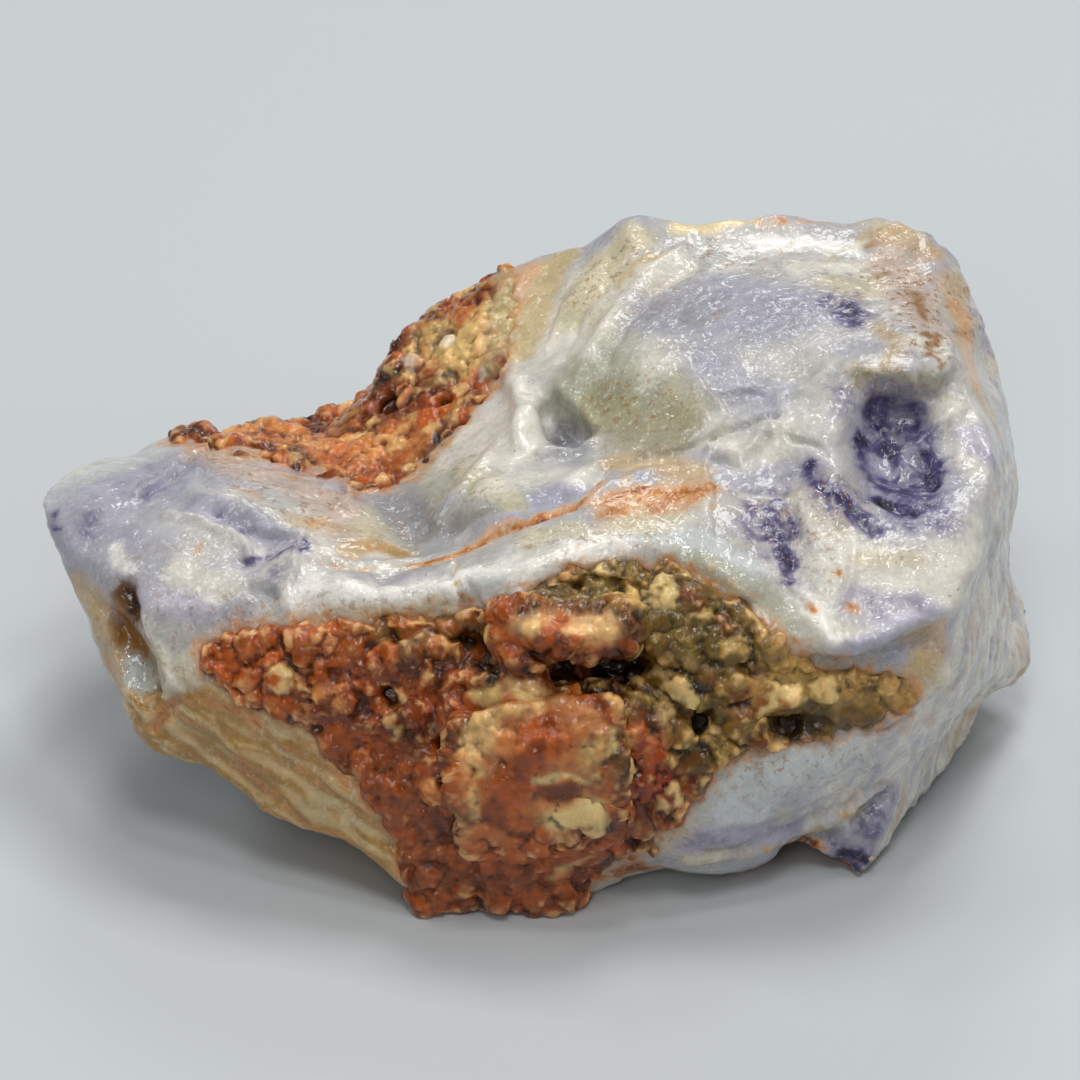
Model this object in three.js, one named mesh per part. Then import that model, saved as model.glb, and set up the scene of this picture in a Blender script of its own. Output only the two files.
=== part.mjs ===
// A rough piece of common opal, broken from its host rock: one stone in one solid, in millimetres, +Z up.
// It lies on a flat facet at z = 0. The stone is a closed faceted skin through named landmarks on its
// ridges, hollows, faces and rims.
import * as THREE from "three";
import { ConvexGeometry } from "three/addons/geometries/ConvexGeometry.js";

// Driving dimensions.
const lean = THREE.MathUtils.degToRad(35); // the front frame's up axis leans back by this much
const frontHeight = 15.5; // height of the front frame's origin above the ground
const spineLeft = new THREE.Vector3(-20, 0.5, 11.5); // the ends of a line that runs inside the stone
const spineRight = new THREE.Vector3(12, 1, 12);
const spineFlatness = 0.55; // depth over height of the stone's usual section, for finding neighbours
const spineSpread = 1.3; // how far the spine's two ends are moved apart, for finding neighbours

// Landmarks in the front frame: [across to the right, up along the leaning plane, out towards the front].
const front = {
  // The outline, clockwise from the tip of the left lobe.
  lobeOutline: [
    [-30.1, 1.8, -1], [-29.9, 3.2, -3], [-27, 4.8, -7], [-25, 5, -8], [-22.4, 6.2, -10.5],
    [-20.3, 6.2, -10],
  ],
  crustOutline: [
    [-18.5, 6.1, -11], [-16.8, 7.2, -13], [-15.2, 6.7, -13], [-14, 6.3, -12.5], [-12.2, 7.2, -13],
    [-10.2, 8.9, -13], [-9.5, 10.2, -13], [-9.3, 12, -13.5], [-7.5, 13, -13.5], [-5.2, 14.2, -13.5],
    [-3, 15.8, -13.5], [-1.5, 16.7, -13.5], [1, 17.6, -13], [2.8, 18, -12.5], [4.5, 19.2, -12],
  ],
  crestOutline: [
    [6.3, 19.8, -11], [7.6, 19.4, -11], [9.5, 19.3, -12], [13, 19.6, -12], [16, 19.7, -12],
    [19, 19.4, -12], [21.5, 19.7, -11], [23, 19, -10],
  ],
  rightOutline: [
    [24.3, 18, -9], [25.3, 16.5, -8], [26.5, 14.7, -8], [27.2, 13, -8], [27.4, 11.2, -7], [28.2, 9.5, -7],
    [28.7, 6.5, -6], [29.1, 3.5, -5], [28.8, 1, -5], [28.2, -0.5, -5.5], [28.9, -2, -8.5],
    [29.7, -4, -9.5], [30.1, -5.8, -10], [29.6, -8, -10], [28.3, -9.3, -9.4], [27.3, -9.7, -8.4],
    [26.5, -11.6, -7.6], [25, -13.8, -6], [23.5, -15.7, -3.5], [21.8, -17.1, -1.4],
  ],
  tipOutline: [[20.9, -19, 1.2], [19.3, -20.4, 2.4], [17.8, -19.4, 2.6]],
  slabRim: [[15, -18.4, 3.6], [14, -19.3, 4.6], [11.5, -20, 5], [9.5, -20.2, 5], [7.5, -19.9, 4.6]],
  footOutline: [
    [4, -20.7, 4.2], [1.5, -21.8, 4.6], [-1, -22.3, 5], [-4, -22, 4.8], [-6, -22.4, 5.2],
    [-8, -21.3, 5.6],
  ],
  underOutline: [
    [-9.5, -20, 6.4], [-12, -18.2, 6.4], [-14, -17.6, 6], [-16.5, -16.8, 5.4], [-18, -15.5, 5],
    [-20, -13.9, 4.6], [-22, -13.2, 3.8], [-24, -11.9, 3], [-25.2, -10, 2.4], [-25.8, -8.5, 2],
    [-26.8, -6.6, 1.6], [-27.5, -4.4, 1.6], [-28.3, -2, 1], [-29.2, -0.8, 0],
  ],

  // The left lobe: its top face, the step across it, and the rim above the pocket at its end.
  lobeTop: [
    [-27.5, 2, 0], [-25, 3, -1.8], [-25, 0.5, 3], [-23, 4.7, -6], [-22, 2, 1.1], [-21.3, 4.5, -4.8],
  ],
  lobeStep: [[-20.3, 5, -6.3], [-20.5, 2.6, 1.4], [-18, 2.4, 2.4], [-15.3, 0.6, 4.4], [-12.8, -0.8, 6.3]],
  lobeSlab: [[-17.5, 4.5, -3.5], [-15.5, 3, 0], [-13, 3.2, -2], [-13, 1.2, 2.5], [-11, 2.4, -0.5]],
  lobeTrough: [[-21, 1, 3.4], [-18.5, 0.6, 4.2], [-17, -0.8, 5.6], [-14.8, -0.6, 6]],
  lobeFront: [
    [-27, -1.4, 3.2], [-25.7, -3, 4.8], [-23, -1.5, 5.8], [-21, -2.6, 7.2], [-19, -2.2, 7.2],
    [-17, -2.6, 7.8], [-23.8, -4.8, 6.5], [-21, -5, 8], [-17.5, -4.6, 8.7], [-22.6, -7, 7.4],
    [-22.2, -9.1, 7.6],
  ],
  pocket: [[-27.2, -3.3, 2.5], [-26.2, -5.2, 3.4], [-25, -8.5, 4], [-23.8, -10.8, 4.7], [-22.7, -10, 6]],
  pocketFloor: [[-25, -5, 3.8], [-24.2, -6.8, 4], [-23.4, -8.4, 4.6]],

  // The smooth dimple behind the rolled ledge, and the crust's lower edge above it.
  crustEdge: [
    [-18.3, 5.8, -9], [-15.5, 5, -7.5], [-12.8, 4, -5.5], [-11, 3.6, -4.2], [-8.8, 3.6, -3.8],
    [-7.2, 5, -4.4], [-5, 7, -5], [-3, 8.6, -5.4], [-1, 10.4, -6], [0.6, 12.2, -7], [2.4, 15, -8.2],
    [4.4, 17.6, -9.8],
  ],
  crustFace: [
    [-13, 5.6, -9.5], [-10.8, 6.6, -10], [-8.8, 6.6, -8], [-8.8, 9.2, -10.6], [-6.6, 9.2, -8.6],
    [-6.4, 11.4, -11], [-4, 11.6, -9.2], [-1.5, 14, -10],
  ],
  dimple: [[-9.5, 2.2, -1.2], [-7.8, 1.2, 1], [-8, -0.4, 3.6], [-6.2, 0.4, 3.4], [-10.3, 0.4, 3.6]],
  dimpleWall: [[-5.4, 2.2, 3.2], [-5, 4.4, -0.6], [-3.6, 2.4, 5], [-2.5, 4.3, 2], [-3.5, 6, -2]],
  valley: [
    [-12, -1.6, 7.6], [-9.5, -1.6, 6.6], [-6.5, -1.2, 6.8], [-3, -0.1, 8], [0, 1.2, 8.2], [3, 2.6, 7.8],
    [6, 3, 7.6], [10, 3, 8],
  ],

  // The rolled white ledge, from its upper edge over its bulge to the line where the host rock starts.
  ledgeTop: [
    [-14.6, -1.7, 8], [-11, -2.3, 9.2], [-7.5, -2.2, 9.6], [-4.6, -1.8, 10.2], [-2, -0.6, 10.2],
    [1, 0.1, 10.3], [4.5, 0.8, 10], [8, 1, 9.9],
  ],
  ledgeBulge: [
    [-14.5, -3.4, 9.2], [-11, -3.6, 10.4], [-7.5, -3.4, 10.9], [-4.4, -3, 11.4], [-1.5, -2.2, 12],
    [1.5, -1.1, 12], [5, -0.6, 11.7], [8.5, -0.6, 11.3], [11, -1, 11.4], [13, -2.6, 11.9],
  ],
  ledgeFoot: [
    [-14.5, -5, 9.6], [-11, -5, 10.3], [-8, -4.8, 10.6], [-5, -4.6, 11], [-2.4, -4.2, 11.4],
    [0.6, -3, 11.7], [3.5, -1.8, 11.7], [7.5, -1.7, 11.3], [10.5, -2.6, 11.6], [13, -4, 12],
    [15.5, -5.9, 12.3],
  ],

  // The folds in the middle and the large smooth lobe above them.
  folds: [
    [-0.3, 8, -1.6], [0.3, 9.6, -3], [-0.8, 6, 0.6], [1.5, 6.6, -1], [-0.5, 4.6, 2.6], [2.2, 5, 2.6],
    [5, 4.8, 4.4], [8.5, 4.8, 5], [3.5, 7.4, 0.6],
  ],
  boulder: [
    [3, 10.4, -1.4], [6, 8.4, 2], [5.5, 11.6, -0.6], [9, 6.8, 4.2], [9, 10, 1.8], [8.8, 13.4, -2.4],
    [12.5, 8.4, 3.6], [12.5, 11.6, 0.8], [12.5, 14.6, -3.2], [16, 9.2, 3.6], [16, 12.6, 0],
    [17, 15.4, -4],
  ],
  boulderRidge: [
    [3.3, 12.9, -5], [5, 14.8, -6.4], [6.8, 16.6, -7.8], [9.5, 17.6, -9], [13.5, 17.4, -8.4],
    [17, 17.4, -8.2], [20, 17, -7.6],
  ],
  crest: [[3.2, 17, -10], [5.5, 18.4, -9.4], [22, 17.8, -8.6]],
  crackLine: [[10.6, 6.4, 4.4], [13.8, 7.2, 5], [13, 5.6, 5.8], [11, 5, 5.6]],

  // The dark hollow on the right, its lip and its rim.
  lip: [
    [18, 10.8, 3.2], [20.2, 9.9, 4.3], [22.4, 10, 4.3], [24.2, 10, 3.5], [22.5, 12, 2], [20, 13.5, -1],
    [23, 14.8, -3.6],
  ],
  hollow: [[20.4, 7.4, 3], [22.6, 7.2, 2.8], [19.6, 5.2, 4.2], [21.8, 5, 3.6], [23.6, 5, 4], [22, 3, 5.4]],
  hollowRim: [
    [18.2, 8.2, 5.2], [17.4, 5.6, 7], [17, 3.4, 8.2], [19.4, 1.8, 8.4], [22, 1.2, 8.4], [24.6, 1.2, 8.4],
    [24.4, 3.4, 6.4], [24.6, 7.4, 4.2],
  ],

  // The sharp right edge from the crest down to the overhanging lip of the white face.
  rightEdge: [
    [24, 16.2, -6.2], [25, 13.2, -3.4], [25.4, 10.6, 1.6], [26, 8.4, 2.6], [27.2, 6, 4.4],
    [27.3, 4.4, 5.6], [26.9, 2, 7], [26.6, -0.8, 8.4], [25.6, -2.6, 9.6], [24.6, -4, 10.4],
    [22.9, -4.6, 11.4], [21.5, -5.5, 12], [19.6, -6.5, 12.6], [17.6, -6.7, 12.8],
  ],
  whiteFace: [
    [13.2, 2, 8.6], [14.6, 3.8, 7], [15.2, 0.2, 9.4], [15.4, -2.2, 10.8], [17.4, -0.4, 10.2],
    [19.8, -1, 10.4], [23.4, -1.6, 10.2], [17.8, -4.2, 12], [21, -3.6, 11.6], [11, 1.6, 9.6],
  ],
  rightSide: [
    [26.4, 12, -4], [27.4, 8.4, -1.4], [28.2, 5, 0.4], [28, 1.6, 2.4], [27.2, -1.4, 4.6], [27, -5, 3.4],
    [28.2, -4.4, -2.4], [25.7, -5.2, 7.6], [26, -8.4, 3.8], [24.6, -11.4, 2.4], [22.9, -13.8, 2],
    [28, -7.6, -4],
  ],

  // The lower front on the right: host rock under the overhang, then the pale slab and its hanging tip.
  underLip: [
    [16.6, -7.6, 11], [19.6, -7.7, 10.8], [22.4, -6.8, 10.6], [24.2, -6.4, 9.6], [24.5, -8.6, 8.6],
  ],
  hostRight: [[13.2, -8, 11.8], [16, -10, 10.8], [20, -9.6, 9.8], [22.2, -10.4, 8.8], [13, -11, 11]],
  slab: [
    [11.4, -13.2, 10.6], [15, -13, 9.8], [19.4, -12.2, 8.6], [9, -16, 9.6], [12.6, -15.8, 9.2],
    [16.4, -14.8, 8], [19.8, -14, 6.6], [6.4, -18.8, 7.2], [10, -18.4, 7.6], [13.6, -17.8, 6.4],
    [17.4, -16.6, 5], [20.4, -15.6, 4],
  ],
  tip: [[16.6, -18.2, 3.4], [19.6, -18.2, 3.6], [21.6, -16.2, 2.6]],

  // The lower front in the middle: nodules, the block over the dark cavity, and the large pale-edged block.
  nodules: [
    [5, -3.6, 11.6], [8.4, -3.6, 12], [10.8, -5, 12], [13.6, -6, 12.4], [9.6, -7.6, 12.2],
    [7.6, -5.6, 12.2],
  ],
  block: [
    [-2.3, -5.4, 12.6], [0.4, -4.6, 12.8], [3.6, -5, 13], [5.8, -5.8, 12.6], [-1, -6.6, 14.2],
    [1.4, -6.4, 14.4], [4, -6.6, 13.8],
  ],
  cavity: [[1.2, -8.6, 11.6], [4.2, -7.8, 10.6], [6.4, -8.6, 11]],
  bigBlock: [
    [-4.9, -12.2, 11.6], [-3.4, -10.4, 12.6], [0.6, -9.8, 13.2], [3.8, -10.2, 13], [4.4, -12, 12.6],
    [3.8, -14.4, 12], [-0.4, -12.4, 13.8], [-4.6, -14.6, 11.4], [-0.6, -15.4, 12.4], [2, -16.6, 11.2],
  ],
  hostMiddle: [
    [7.4, -10.8, 11.6], [10.4, -10.4, 11.4], [7.6, -13.6, 10.8], [6, -16, 10], [3.4, -18.4, 8.2],
    [-1, -18.4, 9], [-4.4, -17.4, 9.4],
  ],
  foot: [[-6.4, -19.6, 7.6], [-2.6, -20.6, 7.2], [1.4, -20.2, 6.8], [-7.6, -17.4, 8.6], [-6.6, -15, 9.8]],
  hostLeft: [
    [-19.8, -7.4, 8.6], [-16, -7, 9.6], [-12, -7, 10.4], [-8, -7, 11], [-4.6, -7.4, 11.4],
    [-16.4, -9.4, 9.2], [-12, -10, 10], [-8, -10, 10.6], [-6, -12.4, 10.2], [-10, -13, 9.6],
  ],

  // The smooth cream underside on the left.
  creamEdge: [
    [-18.4, -10.2, 8.2], [-14.6, -11, 9.2], [-12.6, -13.4, 9], [-10.4, -16, 8.8], [-8.6, -18.8, 7.6],
  ],
  cream: [[-20.4, -11.4, 6.6], [-17, -13.2, 7.2], [-14.6, -15.2, 7.2], [-11.8, -17, 7.4]],
};

// Landmarks of the back and the base, [x, y, z] straight in the stone's own frame.
const back = {
  facet: [
    [-7, -15.6, 0], [-1, -15.8, 0], [6, -12, 0], [11.5, -6, 0], [13, 2, 0], [10, 11, 0], [3, 14, 0],
    [-5, 12, 0], [-9.5, 4, 0], [-10, -7, 0], [1, -2, 0],
  ],
  underLobe: [
    [-24, -2, 8], [-19, -6, 6], [-14, -8, 3], [-25.5, 4, 9], [-19, 3, 5.6], [-15, 8, 3.6], [-22, 9, 8],
  ],
  underRight: [[16, -9, 2], [19, -3, 2.4], [21, 4, 3.2], [17, 10, 2.4], [25, -3, 4], [13, -13, 1.2]],
  backBelt: [
    [-27.5, 8, 12.6], [-22, 13, 11], [-15, 16.6, 8.6], [-8, 19.5, 9.6], [0, 22.6, 10], [8, 23.8, 9.4],
    [16, 23.2, 10], [23, 19.4, 9.8], [27, 12, 9.2], [28.6, 6, 7.4],
  ],
  backFoot: [[-11, 13.5, 3.2], [-3, 17.6, 3.4], [7, 19, 3.8], [15, 17, 4], [22, 12, 4.6]],
  backWall: [
    [-12, 18.4, 12.6], [-5, 22.2, 15.8], [2, 24.2, 16.8], [10, 24.8, 17], [18, 24, 17.4],
    [24, 19.6, 17.4], [27.6, 13, 15.6], [28.6, 7.6, 13.4], [-25, 11.2, 13.4], [-19, 15.2, 12.2],
  ],
};

const stoneMaterial = new THREE.MeshStandardMaterial({
  name: "opal_in_host_rock",
  color: 0xcfcbd0,
  roughness: 0.28,
  metalness: 0,
});

// A point of the front frame in the stone's own frame.
function fromFront([across, up, out]) {
  return new THREE.Vector3(
    across,
    up * Math.sin(lean) - out * Math.cos(lean),
    frontHeight + up * Math.cos(lean) + out * Math.sin(lean),
  );
}

// Where a point sits on a unit sphere that the stone's long shape is shrunk to along its spine.
function onSphere(point) {
  const along = THREE.MathUtils.clamp((point.x - spineLeft.x) / (spineRight.x - spineLeft.x), 0, 1);
  const spot = point.clone().sub(spineLeft.clone().lerp(spineRight, along));
  spot.y *= spineFlatness;
  spot.normalize();
  spot.x += spineSpread * (2 * along - 1);
  return spot.normalize();
}

// The closed skin through the landmarks. The convex hull of their places on the sphere joins each one to
// those beside it, and every corner of the hull then moves out to its landmark.
function skin(landmarks) {
  const spots = landmarks.map(onSphere);
  const hull = new ConvexGeometry(spots).getAttribute("position");
  const corner = new THREE.Vector3();
  const positions = [];
  for (let i = 0; i < hull.count; i++) {
    corner.fromBufferAttribute(hull, i);
    const gaps = spots.map((spot) => spot.distanceToSquared(corner));
    positions.push(...landmarks[gaps.indexOf(Math.min(...gaps))].toArray());
  }
  const geometry = new THREE.BufferGeometry();
  geometry.setAttribute("position", new THREE.Float32BufferAttribute(positions, 3));
  geometry.computeVertexNormals();
  return geometry;
}

const landmarks = [
  ...Object.values(front).flat().map(fromFront),
  ...Object.values(back).flat().map((point) => new THREE.Vector3(...point)),
];
const stone = new THREE.Mesh(skin(landmarks), stoneMaterial);
stone.name = "opal_stone";

const specimen = new THREE.Group();
specimen.add(stone);

export default specimen;
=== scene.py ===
import math

import bmesh
import bpy
import numpy as np
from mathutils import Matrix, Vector
from mathutils.bvhtree import BVHTree
from mathutils.kdtree import KDTree


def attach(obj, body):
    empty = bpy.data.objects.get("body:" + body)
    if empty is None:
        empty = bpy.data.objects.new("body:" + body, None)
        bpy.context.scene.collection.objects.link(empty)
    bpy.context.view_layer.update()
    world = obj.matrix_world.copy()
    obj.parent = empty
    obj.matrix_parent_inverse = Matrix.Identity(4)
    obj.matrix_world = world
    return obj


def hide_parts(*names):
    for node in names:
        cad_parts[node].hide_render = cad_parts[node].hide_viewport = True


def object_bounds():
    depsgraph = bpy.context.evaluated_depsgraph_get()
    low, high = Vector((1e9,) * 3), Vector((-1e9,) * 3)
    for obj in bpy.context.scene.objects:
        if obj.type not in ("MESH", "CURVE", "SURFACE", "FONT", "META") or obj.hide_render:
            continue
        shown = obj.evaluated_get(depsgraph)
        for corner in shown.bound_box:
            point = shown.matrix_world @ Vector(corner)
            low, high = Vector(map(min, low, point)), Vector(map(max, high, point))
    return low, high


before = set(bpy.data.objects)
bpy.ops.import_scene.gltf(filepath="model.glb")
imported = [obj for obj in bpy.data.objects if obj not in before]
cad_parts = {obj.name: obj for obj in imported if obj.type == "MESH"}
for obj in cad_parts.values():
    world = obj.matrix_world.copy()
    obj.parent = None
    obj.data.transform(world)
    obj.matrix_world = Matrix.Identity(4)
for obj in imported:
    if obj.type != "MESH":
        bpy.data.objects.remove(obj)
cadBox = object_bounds()
mm = 0.001

# The front frame: u to the right, v up along a plane that leans back, w out towards the front, all in mm.
# The lines and places in the tables below are (u, v) pairs in it.
front = {
    "lean": 35,  # degrees
    "height": 15.5,  # mm, of its origin above the floor
    "width": 65.6,  # mm, of the view
    "distance": 1.3,  # m, from the origin to the camera
}
leanSin, leanCos = math.sin(math.radians(front["lean"])), math.cos(math.radians(front["lean"]))
frontAxes = np.array([[1, 0, 0], [0, leanSin, leanCos], [0, -leanCos, leanSin]])
frontOrigin = np.array([0, 0, front["height"]])
floorGap = 0.02  # mm, the least height of the stone's skin above the floor


def toFront(points):
    return (points - frontOrigin) @ frontAxes.T


def fromFront(points):
    return np.asarray(points, float) @ frontAxes + frontOrigin


# Small sculpting tools. All of them work on arrays of points in mm.

shuffled = np.random.default_rng(11).permutation(256)
slopes = np.random.default_rng(12).normal(size=(256, 3))
slopes /= np.linalg.norm(slopes, axis=1)[:, None]


def scramble(cell):
    x, y, z = (cell[:, k] & 255 for k in range(3))
    return shuffled[(shuffled[(shuffled[x] + y) & 255] + z) & 255]


def smoothNoise(points, size, seed):
    # soft lumps of about this size, from -1 to 1
    spot = points / size + seed * 19.37
    cell = np.floor(spot).astype(np.int64)
    part = spot - cell
    fade = part ** 3 * (part * (part * 6 - 15) + 10)
    total = np.zeros(len(points))
    for corner in np.ndindex(2, 2, 2):
        corner = np.array(corner)
        slope = slopes[scramble(cell + corner)]
        weight = np.prod(np.where(corner, fade, 1 - fade), axis=1)
        total += weight * np.sum(slope * (part - corner), axis=1)
    return total * 1.7  # the farthest peaks come close to 1


def roughNoise(points, size, octaves, seed):
    # the same with finer lumps on top, each layer half the size and half the height
    total, weight = np.zeros(len(points)), 0
    for k in range(octaves):
        total += 0.5 ** k * smoothNoise(points, size / 2 ** k, seed + k)
        weight += 0.5 ** k
    return total / weight * 1.3


def cellNoise(points, size, seed):
    # distances to the nearest and the second nearest of scattered seeds, over the cell size
    spot = points / size + seed * 7.13
    cell = np.floor(spot).astype(np.int64)
    near, second = np.full(len(points), 9.0), np.full(len(points), 9.0)
    for step in np.ndindex(3, 3, 3):
        other = cell + np.array(step) - 1
        mark = scramble(other)
        jitter = slopes[(mark * 7 + 3) & 255] * 0.42 + 0.5
        gap = np.linalg.norm(other + jitter - spot, axis=1)
        second = np.minimum(second, np.maximum(near, gap))
        near = np.minimum(near, gap)
    return near, second


def ease(x, low, high):
    # 0 up to low, 1 from high on, smooth between them
    t = np.clip((x - low) / (high - low), 0, 1)
    return t * t * (3 - 2 * t)


def gapToLine(points, line):
    best = np.full(len(points), 1e9)
    for a, b in zip(line[:-1], line[1:]):
        along = b - a
        t = np.clip((points - a) @ along / max(along @ along, 1e-12), 0, 1)
        best = np.minimum(best, np.linalg.norm(points - a - t[:, None] * along, axis=1))
    return best


def gapToOutline(flat, outline):
    # distance in the front plane to a closed outline, positive inside
    ring = np.array(outline + outline[:1], float)
    inside = np.zeros(len(flat), bool)
    for a, b in zip(ring[:-1], ring[1:]):
        crosses = (a[1] > flat[:, 1]) != (b[1] > flat[:, 1])
        reach = (b[0] - a[0]) * (flat[:, 1] - a[1]) / (b[1] - a[1] + 1e-12) + a[0]
        inside ^= crosses & (flat[:, 0] < reach)
    return np.where(inside, 1, -1) * gapToLine(flat, ring)


class Stone:
    # the points, edges and normals of one mesh while it is being worked
    def __init__(self, mesh):
        self.mesh = mesh
        self.points = readPoints(mesh)
        self.edges = np.empty(len(mesh.edges) * 2, np.int32)
        mesh.edges.foreach_get("vertices", self.edges)
        self.edges = self.edges.reshape(-1, 2)
        self.degree = np.bincount(self.edges.ravel(), minlength=len(self.points))[:, None]
        self.refresh()

    def refresh(self):
        self.mesh.vertices.foreach_set("co", (self.points * mm).ravel())
        self.mesh.update()
        normals = np.empty(len(self.points) * 3)
        self.mesh.vertices.foreach_get("normal", normals)
        self.normals = normals.reshape(-1, 3)
        self.front = toFront(self.points)
        self.facing = self.normals @ frontAxes[2]

    def around(self, values):
        # the mean of each point's neighbours
        a, b = self.edges.T
        columns = []
        for k in range(values.shape[1]):
            total = np.bincount(a, values[b, k], len(values)) + np.bincount(b, values[a, k], len(values))
            columns.append(total)
        return np.stack(columns, 1) / self.degree

    def relax(self, passes, amount):
        amount = np.broadcast_to(amount, len(self.points))[:, None]
        for _ in range(passes):
            self.points += (self.around(self.points) - self.points) * amount
        self.refresh()

    def swell(self, height):
        self.points += self.normals * height[:, None]
        self.refresh()


def withinBox(points, spare=0.35):
    # eases what stands proud back to the frame's box, and lets it pass by no more than spare
    for way, corner in ((-1, cadBox[0]), (1, cadBox[1])):
        for k in range(3):
            edge = corner[k] / mm
            over = way * (points[:, k] - edge)
            held = edge + way * spare * (1 - np.exp(-np.maximum(over, 0) / spare))
            points[:, k] = np.where(over > 0, held, points[:, k])
    points[:, 2] = np.maximum(points[:, 2], floorGap)


def readPoints(mesh):
    points = np.empty(len(mesh.vertices) * 3)
    mesh.vertices.foreach_get("co", points)
    return points.reshape(-1, 3) / mm


def treeOf(mesh):
    corners = [tuple(p) for p in readPoints(mesh)]
    return BVHTree.FromPolygons(corners, [tuple(f.vertices) for f in mesh.polygons])


def ontoStone(tree, spots):
    # where lines straight in from the front meet the stone
    inwards = Vector(-frontAxes[2])
    found = []
    for u, v in spots:
        hit = tree.ray_cast(Vector(fromFront([u, v, 60])), inwards)[0]
        if hit is None:  # just outside the outline: the nearest place on the rim
            tries = [tree.find_nearest(Vector(fromFront([u, v, w]))) for w in range(-24, 27, 3)]
            hit = min(tries, key=lambda found: found[3])[0]
        found.append(np.array(hit))
    return np.array(found if len(found) > 1 else found * 2)


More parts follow.
